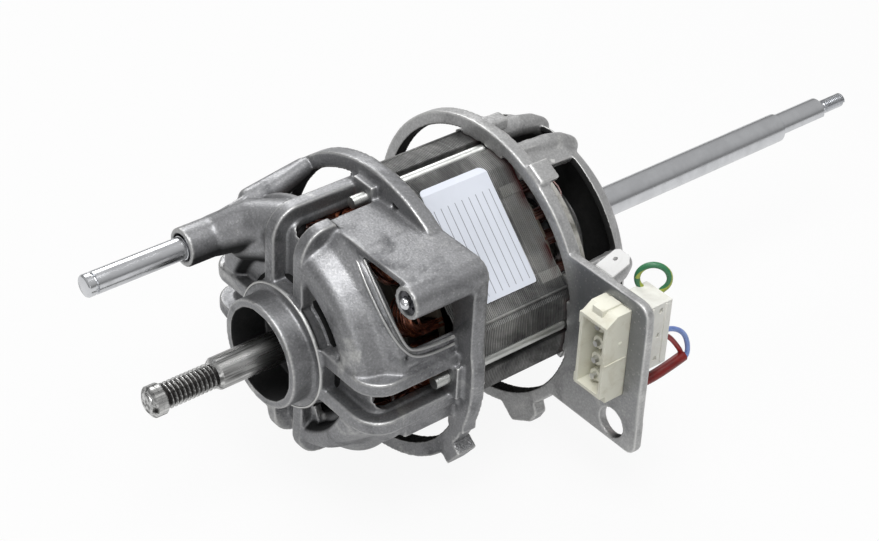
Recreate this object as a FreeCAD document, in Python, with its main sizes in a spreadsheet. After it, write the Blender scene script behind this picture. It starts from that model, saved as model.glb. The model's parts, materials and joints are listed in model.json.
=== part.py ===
import FreeCAD, Part
import math
import os
import Sketcher

# Brushless dryer motor. Millimetres, +Y runs along the shaft to the rear, +Z is up, +X points
# towards the connector plate. The origin is on the shaft axis, in the front collar's face.

# Driving dimensions, one name each
SIZES = {
    # shaft
    "shaft_r": 5.0, "seat_r": 6.0, "seat_step": 1.0, "seat_past": 0.4, "shaft_tip": -38.5,
    "cap_len": 4.8, "cap_r": 4.8, "cap_bevel": 0.6, "front_thread_r": 4.0,
    "front_thread_len": 17.3, "neck_bevel": 1.2, "shaft_rear": 217.5, "flat_end_r": 4.3,
    "flat_depth": 3.0, "flat_len": 20.5, "stud_neck": 2.2, "stud_r": 2.4, "stud_len": 10.0,
    # front collar and hub
    "collar_r": 17.2, "collar_bore": 14.5, "collar_len": 7.4, "bead_r": 20.2, "bead_w": 1.2,
    "hub_r": 19.4, "hub_back": 23.0, "shoulder_r": 10.5, "shoulder_w": 2.0,
    # bearings
    "brg_r": 14.0, "brg_w": 8.0, "brg_front": 14.0, "brg_rear": 104.0, "race_pitch": 10.0,
    "ball_r": 2.3, "race_gap": 0.2, "race_land": 2.0, "shield_t": 0.3, "shield_gap": 0.4,
    # front dome
    "deck_y": 12.5, "crest_in": 28.5, "crest_out": 36.5, "crest_y": 9.0, "valley_r": 39.0,
    "valley_y": 16.6, "dome_wall": 2.6, "lip_r": 42.4, "lip_y": 20.3, "lip_t": 2.0,
    "slit_in": 20.6, "slit_out": 27.2,
    # arms with their open channels, in line with the four screws
    "arm_half": 9.2, "arm_r": 42.8, "arm_top": 8.4, "arm_round": 9.0, "channel_half": 4.7,
    "channel_deep": 5.0, "floor_t": 2.4, "floor_hole_r": 31.0,
    "floor_edge": 0.6,
    # hoops that hold the stator
    "ring_out": 49.0, "ring_in": 44.0, "ring_front": 40.0, "ring_w": 5.0, "pilot": 3.0,
    "pilot_gap": 0.1, "pilot_half": 9.2, "lug_w": 4.5,
    # stator
    "stack_front": 42.0, "stack_len": 42.0, "stack_r": 42.5, "stack_flat": 36.7,
    "recess_half": 12.4, "recess_deep": 0.4, "bore_r": 25.2, "yoke_r": 33.8, "tooth_half": 3.0,
    "shoe_t": 1.4, "slot_mouth": 1.3, "rod_circle": 40.3, "rod_r": 1.9, "rod_groove": 2.4,
    # coils and insulators
    "coil_in": 27.9, "coil_out": 33.2, "coil_leg": 2.7, "coil_gap": 0.6, "coil_end": 5.5,
    "spool_r": 35.0, "spool_t": 1.5, "spool_rim": 1.2, "spool_tall": 6.0, "wedge_t": 0.9,
    "wedge_half": 3.7, "wedge_over": 2.0,
    # strip and lead over the rear coils, seen through the rear window
    "strip_r": 36.6, "strip_t": 1.8, "strip_y": 92.0, "strip_w": 4.0, "strip_low": 22.0,
    "strip_high": 68.0, "strip_leg": 4.0, "lead_y": 90.2, "lead_out": 36.9, "lead_in": 34.9,
    "phase_lead_r": 0.9,
    # rotor
    "core_r": 20.0, "magnet_r": 24.6, "magnet_arc": 41.0, "end_ring_t": 1.6, "clip_r": 8.6,
    "clip_t": 1.1, "clip_deep": 0.6, "core_hole_r": 2.6,
    # screws
    "screw_tip": 32.6, "screw_head_r": 3.9, "screw_head": 3.4,
    # idler pin and its sleeve
    "pin_reach": 37.3, "pin_r": 3.5, "pin_tip": -41.4, "pin_seat": 19.0, "pin_seat_r": 3.7,
    "pin_groove": 2.4, "groove_w": 0.8, "sleeve_r": 6.0, "sleeve_tip": -8.8, "sleeve_back": 23.0,
    "mouth_r": 4.3, "mouth_deep": 1.5, "web_half": 2.6,
    # platform and small pin boss
    "shelf_z": 41.0, "shelf_t": 2.0, "shelf_left": 4.0, "shelf_front": 20.5, "boss_x": 43.0,
    "boss_r": 5.0, "boss_front": 19.0, "boss_bore": 3.6, "nut_t": 0.9, "nut_deep": 1.4,
    "stub_r": 1.8, "stub_len": 12.0, "cheek_low": 18.0,
    # feet
    "foot_out": 3.7, "foot_half": 4.2, "foot_w": 7.0,
    "rear_foot_out": 5.8, "rear_foot_half": 9.5,
    # rear bracket
    "flange_front": 81.5, "flange_w": 4.5, "flange_out": 48.5, "flange_in": 44.3, "bell_r": 42.0,
    "bell_back": 114.5, "bell_round": 10.5, "bell_wall": 2.8, "end_hub_r": 17.5, "end_hub": 2.5,
    "window_back": 105.5, "shaft_hole": 6.5, "pad_half": 3.6, "wave_room": 0.8, "rod_play": 0.3,
    "peg_x": -5.0, "peg_w": 5.0, "peg_top": 50.0, "peg_len": 6.0,
    # connector plate
    "plate_t": 3.0, "plate_right": 75.3, "plate_low": -28.3,
    "plate_top": 25.5, "plate_corner": 4.5, "eye_x": 65.4, "eye_z": -21.8, "eye_r": 4.9,
    # socket through the plate
    "sock_left": 57.4, "sock_right": 68.4, "sock_low": -9.2, "sock_high": 21.5, "sock_front": 72.4,
    "sock_mouth_low": -6.9, "sock_mouth_high": 18.8, "sock_wall": 1.1, "sock_floor": 82.5,
    "sock_fit": 0.15, "pin_pitch": 6.0, "pin_high": 14.9, "pin_wide": 0.9, "pin_front": 77.4,
    "plug_back": 98.5, "plug_low": -4.5, "plug_high": 18.5, "pocket_step": 7.5,
    # leads
    "earth_wire_r": 1.0, "earth_loop": 5.2, "earth_x": 62.9, "earth_foot": 4.0, "lead_r": 0.8,
    "sleeve_wire_r": 1.75, "sleeve_x": 66.0, "sleeve_y": 108.8, "sleeve_z": -8.8,
    # earth tab
    "tab_x": 47.9, "tab_w": 9.0, "tab_z": 25.5, "tab_t": 0.8, "tab_len": 10.0, "rivet_r": 1.4,
    "dimple_r": 0.7,
    # label
    "label_front": 50.0, "label_back": 74.5, "label_low": 24.0, "label_high": 79.0, "label_t": 0.25,
}

# Directions about the shaft axis, in degrees: 0 is +X, 90 is +Z
DIRECTIONS = (0, 90, 180, 270)
PIN_TURN = 135
FOOT_TURN = -36.5
REAR_FOOT_TURN = -60
PAD_TURN = 62
TEETH = 12
BALLS = 8
MAGNETS = 8
# Openings of the front dome, and the window of each quarter of the bell
SLITS = ((24, 66), (204, 246), (298, 336))
WINDOW = (22, 68)
STRIP_LEGS = (30, 60)
BIG = 200

doc = FreeCAD.newDocument("dryer_motor")
sheet = doc.addObject("Spreadsheet::Sheet", "sizes")
for row, (name, size) in enumerate(SIZES.items(), 1):
    sheet.set("A%d" % row, name)
    sheet.set("B%d" % row, str(size))
    sheet.setAlias("B%d" % row, name)
doc.recompute()

pieces = []
XYZ = {name: FreeCAD.Vector(*v) for name, v in
       {"X": (1, 0, 0), "Y": (0, 1, 0), "Z": (0, 0, 1)}.items()}
ALONG_Y = FreeCAD.Rotation(XYZ["X"], -90)


def names(text):
    """Put the sheet's name before each alias in an expression."""
    out, word = [], ""
    for c in str(text) + " ":
        if c.isalnum() or c == "_":
            word += c
            continue
        out.append("sizes." + word if word in SIZES else word)
        out.append(c)
        word = ""
    return "".join(out).strip()


def value(text):
    return float(sheet.evalExpression(names(text)))


def tie(thing, **ties):
    for prop, text in ties.items():
        thing.setExpression(prop.replace("__", "."), names(text))
    return thing


def place(thing, x, y, z, turn=0, spin=None):
    """Set a piece at (x, y, z) in a frame turned about the shaft axis: 0 is +X, 90 is +Z."""
    thing.Placement.Rotation = FreeCAD.Rotation(XYZ["Y"], -turn) * (spin or FreeCAD.Rotation())
    return tie(thing, Placement__Base__x="(%s)*cos(%s)-(%s)*sin(%s)" % (x, turn, z, turn),
               Placement__Base__y=y,
               Placement__Base__z="(%s)*sin(%s)+(%s)*cos(%s)" % (x, turn, z, turn))


def rod(radius, y, length, x="0", z="0", turn=0):
    solid = doc.addObject("Part::Cylinder", "rod")
    tie(solid, Radius=radius, Height=length)
    return place(solid, x, y, z, turn, ALONG_Y)


def cone(r1, r2, y, length, x="0", z="0", turn=0):
    solid = doc.addObject("Part::Cone", "cone")
    tie(solid, Radius1=r1, Radius2=r2, Height=length)
    return place(solid, x, y, z, turn, ALONG_Y)


def block(x, y, z, dx, dy, dz, turn=0):
    solid = doc.addObject("Part::Box", "block")
    tie(solid, Length=dx, Width=dy, Height=dz)
    return place(solid, x, y, z, turn)


def torus(major, minor, y):
    solid = doc.addObject("Part::Torus", "torus")
    tie(solid, Radius1=major, Radius2=minor)
    return place(solid, "0", y, "0", 0, ALONG_Y)


def ball(radius, x, y, turn):
    solid = doc.addObject("Part::Sphere", "ball")
    tie(solid, Radius=radius)
    return place(solid, x, y, "0", turn)


def bar(radius, x, y, length, turn):
    """A round bar that points out from the shaft axis."""
    solid = doc.addObject("Part::Cylinder", "bar")
    tie(solid, Radius=radius, Height=length)
    return place(solid, x, y, "0", turn, FreeCAD.Rotation(XYZ["Y"], 90))


def upright(radius, x, y, z, length):
    solid = doc.addObject("Part::Cylinder", "upright")
    tie(solid, Radius=radius, Height=length)
    return place(solid, x, y, z)


def fuse(*parts):
    joined = doc.addObject("Part::MultiFuse", "fuse")
    joined.Shapes = list(parts)
    return joined


def join(*parts):
    """Fuse pieces one after the other."""
    whole = parts[0]
    for part in parts[1:]:
        step = doc.addObject("Part::Fuse", "join")
        step.Base, step.Tool = whole, part
        whole = step
    return whole


def cut(base, *tools):
    less = doc.addObject("Part::Cut", "cut")
    less.Base = base
    less.Tool = tools[0] if len(tools) == 1 else fuse(*tools)
    return less


def common(a, b):
    both = doc.addObject("Part::Common", "common")
    both.Base, both.Tool = a, b
    return both


def group(*parts):
    together = doc.addObject("Part::Compound", "group")
    together.Links = list(parts)
    return together


def tube(outer, inner, y, length, **where):
    return cut(rod(outer, y, length, **where), rod(inner, y, length, **where))


def piece(label, thing):
    thing.Label = label
    pieces.append(thing)
    return thing


def corner(a, b, c, radius):
    """Where a rounded corner's arc starts and ends, its centre, and whether it turns left."""
    into = (b - a).normalize()
    out = (c - b).normalize()
    turn = math.atan2(into.x * out.y - into.y * out.x, into.dot(out))
    reach = radius * math.tan(abs(turn) / 2)
    start, end = b - into * reach, b + out * reach
    side = FreeCAD.Vector(-into.y, into.x, 0) * (radius if turn > 0 else -radius)
    return start, end, start + side, turn > 0


def outline(sketch, points):
    """Draw a closed outline. A point is (x, y) or (x, y, corner radius), as expressions."""
    spots = [FreeCAD.Vector(value(p[0]), value(p[1]), 0) for p in points]
    count = len(points)
    ends = []
    for i, p in enumerate(points):
        if len(p) == 3:
            ends.append(corner(spots[i - 1], spots[i], spots[(i + 1) % count], value(p[2])))
        else:
            ends.append((spots[i], spots[i], None, True))
    for i in range(count):
        sketch.addGeometry(Part.LineSegment(ends[i][1], ends[(i + 1) % count][0]), False)
    for i, p in enumerate(points):
        before, after = (i - 1) % count, i
        if len(p) == 2:
            sketch.addConstraint(Sketcher.Constraint("Coincident", before, 2, after, 1))
            mark = (after, 1)
        else:
            start, end, centre, left = ends[i]
            a0, a1 = (math.atan2(q.y - centre.y, q.x - centre.x) for q in (start, end))
            first, last = (a0, a1) if left else (a1, a0)
            circle = Part.Circle(centre, XYZ["Z"], value(p[2]))
            arc = sketch.addGeometry(Part.ArcOfCircle(circle, first, last), False)
            dot = sketch.addGeometry(Part.Point(spots[i]), True)
            sketch.addConstraint(Sketcher.Constraint("Tangent", before, 2, arc, 1 if left else 2))
            sketch.addConstraint(Sketcher.Constraint("Tangent", after, 1, arc, 2 if left else 1))
            sketch.addConstraint(Sketcher.Constraint("PointOnObject", dot, 1, before))
            sketch.addConstraint(Sketcher.Constraint("PointOnObject", dot, 1, after))
            at = sketch.addConstraint(Sketcher.Constraint("Radius", arc, value(p[2])))
            sketch.setExpression("Constraints[%d]" % at, names(p[2]))
            mark = (dot, 1)
        for kind, text, size in (("DistanceX", p[0], spots[i].x), ("DistanceY", p[1], spots[i].y)):
            at = sketch.addConstraint(Sketcher.Constraint(kind, -1, 1, mark[0], mark[1], size))
            sketch.setExpression("Constraints[%d]" % at, names(text))


def turned(points):
    """A profile of (radius, y) points, revolved about the shaft axis."""
    body = doc.addObject("PartDesign::Body", "turned")
    sketch = body.newObject("Sketcher::SketchObject", "profile")
    plane = [f for f in body.Origin.OriginFeatures if f.Role == "XY_Plane"]
    sketch.AttachmentSupport = (plane[0], [""])
    sketch.MapMode = "FlatFace"
    outline(sketch, points)
    spin = body.newObject("PartDesign::Revolution", "spin")
    spin.Profile = sketch
    spin.ReferenceAxis = (sketch, ["V_Axis"])
    spin.Angle = 360
    return body


def drawn(points, start, length, turn=0):
    """An outline in the XZ plane, drawn out along +Y from start."""
    sketch = doc.addObject("Sketcher::SketchObject", "outline")
    sketch.Placement.Rotation = (FreeCAD.Rotation(XYZ["Y"], -turn) * FreeCAD.Rotation(XYZ["X"], 90))
    tie(sketch, Placement__Base__y=start)
    outline(sketch, points)
    solid = doc.addObject("Part::Extrusion", "drawn")
    solid.Base, solid.DirMode, solid.Dir, solid.Solid = sketch, "Custom", XYZ["Y"], True
    return tie(solid, LengthFwd=length)


def rib(points, half, turn, offset="0"):
    """An outline in (radius, y), made a rib of the given half thickness at one direction."""
    sketch = doc.addObject("Sketcher::SketchObject", "rib_outline")
    across = FreeCAD.Vector(-math.sin(math.radians(turn)), 0, math.cos(math.radians(turn)))
    sketch.Placement.Rotation = FreeCAD.Rotation(XYZ["Y"], -turn)
    tie(sketch, Placement__Base__x="-(%s)*sin(%s)" % (offset, turn),
        Placement__Base__z="(%s)*cos(%s)" % (offset, turn))
    outline(sketch, points)
    solid = doc.addObject("Part::Extrusion", "rib")
    solid.Base, solid.DirMode, solid.Dir, solid.Solid = sketch, "Custom", across, True
    return tie(solid, LengthFwd=half, LengthRev=half)


def wedge(low, high, y, length):
    """A sector between two directions, wider than the motor, drawn out along +Y."""
    far = [("%d*cos(%s)" % (BIG, a), "%d*sin(%s)" % (BIG, a)) for a in (low, high)]
    return drawn([("0", "0")] + far, y, length)


def rotor_shaft():
    neck = "shaft_tip+cap_len+front_thread_len"
    profile = [("0", "shaft_tip"), ("cap_r-cap_bevel", "shaft_tip"),
               ("cap_r", "shaft_tip+cap_bevel"),
               ("cap_r", "shaft_tip+cap_len"), ("front_thread_r", "shaft_tip+cap_len+0.4"),
               ("front_thread_r", neck), ("shaft_r", neck + "+neck_bevel"),
               ("shaft_r", "brg_front-seat_step"), ("seat_r", "brg_front-seat_step"),
               ("seat_r", "brg_front+brg_w"), ("seat_r-clip_deep", "brg_front+brg_w"),
               ("seat_r-clip_deep", "brg_front+brg_w+clip_t"),
               ("seat_r", "brg_front+brg_w+clip_t"), ("seat_r", "brg_rear-clip_t"),
               ("seat_r-clip_deep", "brg_rear-clip_t"), ("seat_r-clip_deep", "brg_rear"),
               ("seat_r", "brg_rear"), ("seat_r", "brg_rear+brg_w+seat_past"),
               ("shaft_r", "brg_rear+brg_w+seat_past"), ("shaft_r", "shaft_rear-0.8"),
               ("shaft_r-0.8", "shaft_rear"), ("flat_end_r", "shaft_rear"),
               ("flat_end_r", "shaft_rear+flat_len"), ("stud_r-0.3", "shaft_rear+flat_len"),
               ("stud_r-0.3", "shaft_rear+flat_len+stud_neck"),
               ("stud_r", "shaft_rear+flat_len+stud_neck"),
               ("stud_r", "shaft_rear+flat_len+stud_neck+stud_len-0.5"),
               ("stud_r-0.5", "shaft_rear+flat_len+stud_neck+stud_len"),
               ("0", "shaft_rear+flat_len+stud_neck+stud_len")]
    flat = block("flat_depth", "shaft_rear", "-shaft_r", "shaft_r", "flat_len", "2*shaft_r", -51)
    slot = block("-0.6", "shaft_tip-1", "cap_r-1.6", "1.2", "cap_len", "3", 0)
    piece("rotor_shaft", cut(turned(profile), flat, slot))


def bearing(side, y):
    """A shielded ball bearing between the shaft and a bracket."""
    middle = y + "+brg_w/2"
    track = torus("race_pitch", "ball_r+race_gap", middle)
    bevel = "0.5"
    outer = turned([("race_pitch+race_land", y), ("brg_r-" + bevel, y), ("brg_r", y + "+" + bevel),
                    ("brg_r", y + "+brg_w-" + bevel), ("brg_r-" + bevel, y + "+brg_w"),
                    ("race_pitch+race_land", y + "+brg_w")])
    inner = tube("race_pitch-race_land", "seat_r", y, "brg_w")
    piece(side + "_bearing_outer_ring", cut(outer, track))
    piece(side + "_bearing_inner_ring", cut(inner, track))
    shields = [tube("race_pitch+race_land", "race_pitch-race_land+shield_gap", at, "shield_t")
               for at in (y + "+0.3", y + "+brg_w-0.3-shield_t")]
    piece(side + "_bearing_shields", group(*shields))
    balls = [ball("ball_r", "race_pitch", middle, 360.0 * k / BALLS) for k in range(BALLS)]
    piece(side + "_bearing_balls", group(*balls))
    pockets = [bar("ball_r+0.05", "race_pitch-2", middle, "4", 360.0 * k / BALLS)
               for k in range(BALLS)]
    band = tube("race_pitch+0.9", "race_pitch-0.9", middle + "-2.9", "5.8")
    piece(side + "_bearing_cage", cut(band, *pockets))


def rotor():
    core = tube("core_r", "seat_r", "stack_front", "stack_len")
    holes = [rod("core_hole_r", "stack_front", "stack_len", x="(core_r+seat_r)/2", turn=60 * k)
             for k in range(6)]
    piece("rotor_core", cut(core, *holes))
    ring = tube("magnet_r", "core_r", "stack_front", "stack_len")
    half = "magnet_arc/2"
    arcs = []
    for k in range(MAGNETS):
        middle = 360.0 * k / MAGNETS
        sector = wedge("%s-%s" % (middle, half), "%s+%s" % (middle, half), "stack_front",
                       "stack_len")
        arcs.append(common(ring, sector))
    piece("rotor_magnets", group(*arcs))
    for side, y in (("front", "stack_front-end_ring_t"), ("rear", "stack_front+stack_len")):
        piece(side + "_end_ring", tube("magnet_r-0.4", "seat_r", y, "end_ring_t"))
    gap = block("0", "brg_front+brg_w-1", "-1.6", "clip_r+1", "clip_t+2", "3.2", 90)
    clip = tube("clip_r", "seat_r-clip_deep", "brg_front+brg_w", "clip_t")
    piece("front_circlip", cut(clip, gap))
    gap = block("0", "brg_rear-clip_t-1", "-1.6", "clip_r+1", "clip_t+2", "3.2", 90)
    clip = tube("clip_r", "seat_r-clip_deep", "brg_rear-clip_t", "clip_t")
    piece("rear_circlip", cut(clip, gap))


def lamination(y, length):
    """The slots between the teeth, as one cutter along the stack."""
    slots = tube("yoke_r", "bore_r+shoe_t", y, length)
    teeth = [block("bore_r-2", y, "-tooth_half", "yoke_r", length, "2*tooth_half", 360.0 * k / TEETH)
             for k in range(TEETH)]
    mouths = [block("bore_r-1", y, "-slot_mouth", "shoe_t+2", length, "2*slot_mouth",
                    360.0 * (k + 0.5) / TEETH) for k in range(TEETH)]
    return fuse(cut(slots, *teeth), *mouths)


def stator():
    y, length = "stack_front", "stack_len"
    round_stock = rod("stack_r", y, length)
    square = block("-stack_flat", y, "-stack_flat", "2*stack_flat", length, "2*stack_flat", 45)
    octagon = common(round_stock, square)
    recess = [block("stack_flat-recess_deep", y, "-recess_half", "5", length, "2*recess_half",
                    45 + d) for d in DIRECTIONS]
    grooves = [rod("rod_groove", y, length, x="rod_circle+0.4", turn=d) for d in DIRECTIONS]
    bore = rod("bore_r", y, length)
    piece("stator_core", cut(octagon, bore, lamination(y, length), *recess, *grooves))
    for side, at in (("front", "stack_front-spool_t"), ("rear", "stack_front+stack_len")):
        disc = tube("spool_r", "bore_r+0.1", at, "spool_t")
        rim_at = at + "-spool_tall" if side == "front" else at + "+spool_t"
        rim = tube("bore_r+0.1+spool_rim", "bore_r+0.1", rim_at, "spool_tall")
        piece(side + "_insulator", fuse(cut(disc, lamination(at, "spool_t")), rim))


def slot_wedges():
    """A strip in each slot that closes its mouth behind the tooth tips."""
    start = "stack_front-wedge_over"
    strips = [block("bore_r+shoe_t", start, "-wedge_half", "wedge_t", "stack_len+2*wedge_over",
                    "2*wedge_half", 360.0 * (k + 0.5) / TEETH) for k in range(TEETH)]
    piece("slot_wedges", group(*strips))


def terminal_strip():
    """A curved strip that stands on the rear insulator's rim, outside the coils."""
    foot = "stack_front+stack_len+spool_t"
    band = common(tube("strip_r", "strip_r-strip_t", "strip_y", "strip_w"),
                  wedge("strip_low", "strip_high", "strip_y", "strip_w"))
    legs = [block("strip_r-strip_t-0.9", foot, "-strip_leg/2", "1", "strip_y-(%s)+1" % foot,
                  "strip_leg", turn) for turn in STRIP_LEGS]
    piece("terminal_strip", fuse(band, *legs))


def coil(turn):
    """One coil round one tooth: two legs in the slots and a rounded turn at each end."""
    inner, outer = "(tooth_half+coil_gap)", "(tooth_half+coil_gap+coil_leg)"
    low, high = "stack_front-coil_end", "stack_front+stack_len+coil_end"
    deep = "coil_out-coil_in"
    parts = []
    for wide in (outer, inner):
        flat = block("coil_in", low, "-" + wide, deep, "(%s)-(%s)" % (high, low), "2*" + wide, turn)
        ends = [bar(wide, "coil_in", y, deep, turn) for y in (low, high)]
        parts.append(fuse(flat, *ends))
    return cut(*parts)


def windings():
    for phase, name in enumerate(("winding_u", "winding_v", "winding_w")):
        piece(name, group(*[coil(360.0 * k / TEETH) for k in range(phase, TEETH, 3)]))


def screws():
    head_y = "flange_front+flange_w+0.1"
    rods = [fuse(rod("rod_r", "screw_tip", head_y + "-screw_tip", x="rod_circle", turn=d),
                 rod("screw_head_r", head_y, "screw_head", x="rod_circle", turn=d))
            for d in DIRECTIONS]
    piece("tie_screws", group(*rods))


def arm_outline(deep):
    """An arm's outline in (radius, y): out over the dome, round and back to the hoop."""
    return [("hub_r-1", "arm_top+" + deep),
            ("arm_r-" + deep, "arm_top+" + deep, "arm_round-" + deep + "+0.6"),
            ("arm_r-" + deep, "stack_front"), ("ring_in+1", "stack_front"),
            ("ring_in+1", "ring_front"), ("arm_r", "ring_front"),
            ("arm_r", "arm_top", "arm_round"), ("hub_r-1", "arm_top")]


def front_bracket():
    hub = turned([
        ("collar_bore", "0"), ("collar_r", "0"), ("collar_r", "collar_len"),
        ("bead_r", "collar_len", "0.4"), ("bead_r", "collar_len+bead_w", "0.4"),
        ("hub_r", "collar_len+bead_w"), ("hub_r", "hub_back-3"), ("hub_r-2", "hub_back"),
        ("brg_r", "hub_back"), ("brg_r", "brg_front"), ("shoulder_r", "brg_front"),
        ("shoulder_r", "brg_front-shoulder_w"), ("collar_bore", "brg_front-shoulder_w")])
    dome = turned([
        ("hub_r-1", "deck_y"), ("crest_in-2.7", "deck_y"), ("crest_in", "crest_y", "3"),
        ("crest_out", "crest_y", "4.5"), ("valley_r", "valley_y", "2"), ("lip_r", "lip_y"),
        ("lip_r", "lip_y+lip_t"), ("lip_r-2", "lip_y+lip_t"),
        ("valley_r-dome_wall", "valley_y+1.4", "1.5"),
        ("crest_out-0.6", "crest_y+dome_wall", "2.5"), ("crest_in+1", "crest_y+dome_wall", "1"),
        ("crest_in+0.6", "deck_y+dome_wall"), ("hub_r-1", "deck_y+dome_wall")])
    slits = [common(tube("slit_out", "slit_in", "0", "lip_y"),
                    wedge(str(a), str(b), "0", "lip_y")) for a, b in SLITS]
    shell = cut(dome, *slits)

    ring = tube("ring_out", "ring_in", "ring_front", "ring_w")
    deep = "(channel_deep+floor_t)"
    arms, pilots, channels = [], [], []
    for turn in DIRECTIONS:
        channel = rib([
            ("hub_r+0.5", "-5"), ("hub_r+0.5", "arm_top+channel_deep"),
            ("arm_r-channel_deep", "arm_top+channel_deep", "arm_round-channel_deep"),
            ("arm_r-channel_deep", "stack_front-lug_w"),
            ("ring_out+5", "stack_front-lug_w"), ("ring_out+5", "-5")], "channel_half", turn)
        hole = block("floor_hole_r", "lip_y+lip_t", "-channel_half+floor_edge",
                     "arm_r-floor_hole_r", "stack_front-lug_w-lip_y-lip_t",
                     "2*(channel_half-floor_edge)", turn)
        arms.append(cut(rib(arm_outline(deep), "arm_half", turn), channel, hole))
        channels.append(channel)
        pilots.append(common(tube("ring_out-1", "stack_r+pilot_gap", "stack_front", "pilot"),
                             block("0", "stack_front", "-pilot_half", "ring_out", "pilot",
                                   "2*pilot_half", turn)))
    lugs = [block("stack_flat-1", "stack_front-lug_w", "-channel_half-1", "ring_in+1-stack_flat+1",
                  "lug_w", "2*channel_half+2", turn) for turn in DIRECTIONS]
    threads = [rod("rod_r", "stack_front-lug_w", "lug_w", x="rod_circle", turn=turn)
               for turn in DIRECTIONS]

    sleeve = rod("sleeve_r", "sleeve_tip", "sleeve_back-sleeve_tip", x="pin_reach", turn=PIN_TURN)
    web = rib([("pin_reach-2", "4"), ("pin_reach+sleeve_r-0.6", "2"), ("ring_out-0.5", "ring_front"),
               ("ring_out-0.5", "ring_front+ring_w"), ("ring_in", "ring_front+ring_w"),
               ("ring_in", "ring_front"), ("lip_r-1", "ring_front-8"), ("lip_r-2", "sleeve_back"),
               ("pin_reach-2", "sleeve_back")], "web_half", PIN_TURN)
    pin_hole = rod("pin_seat_r", "sleeve_tip", "pin_seat-sleeve_tip", x="pin_reach", turn=PIN_TURN)
    mouth = rod("mouth_r", "sleeve_tip", "mouth_deep", x="pin_reach", turn=PIN_TURN)

    shelf_back = "(ring_front+ring_w)"
    shelf = block("shelf_left", "shelf_front", "shelf_z-shelf_t", "boss_x-shelf_left",
                  shelf_back + "-shelf_front", "shelf_t")
    boss = rod("boss_r", "boss_front", shelf_back + "-boss_front", x="boss_x", z="shelf_z-boss_r")
    bore = rod("boss_bore", "boss_front", "nut_deep+nut_t", x="boss_x", z="shelf_z-boss_r")
    shaft = rod("stub_r", "boss_front", "stub_len", x="boss_x", z="shelf_z-boss_r")
    cheek = drawn([("shelf_left+14", "shelf_z-0.3"), ("boss_x", "shelf_z-0.3"),
                   ("boss_x+boss_r-0.1", "shelf_z-boss_r"), ("boss_x+boss_r-0.5", "cheek_low"),
                   ("ring_out-1", "4"), ("ring_in", "4"), ("ring_in-12", "28")],
                  "ring_front", "ring_w")
    foot = block("ring_out-1.5", "ring_front", "-foot_half", "foot_out+1.5", "foot_w",
                 "2*foot_half", FOOT_TURN)
    room = rod("ring_in", "ring_front-1", "ring_w+pilot+1")
    hoop = fuse(ring, *pilots, *lugs, foot)
    spider = fuse(hub, *arms)
    seat = rod("stack_r+pilot_gap", "stack_front", "pilot")
    platform = fuse(cut(shelf, seat), boss, cut(cheek, room))
    whole = join(cut(shell, *channels), spider, hoop, fuse(sleeve, web), platform)
    piece("front_bracket", cut(whole, pin_hole, mouth, bore, shaft, *threads))


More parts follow.
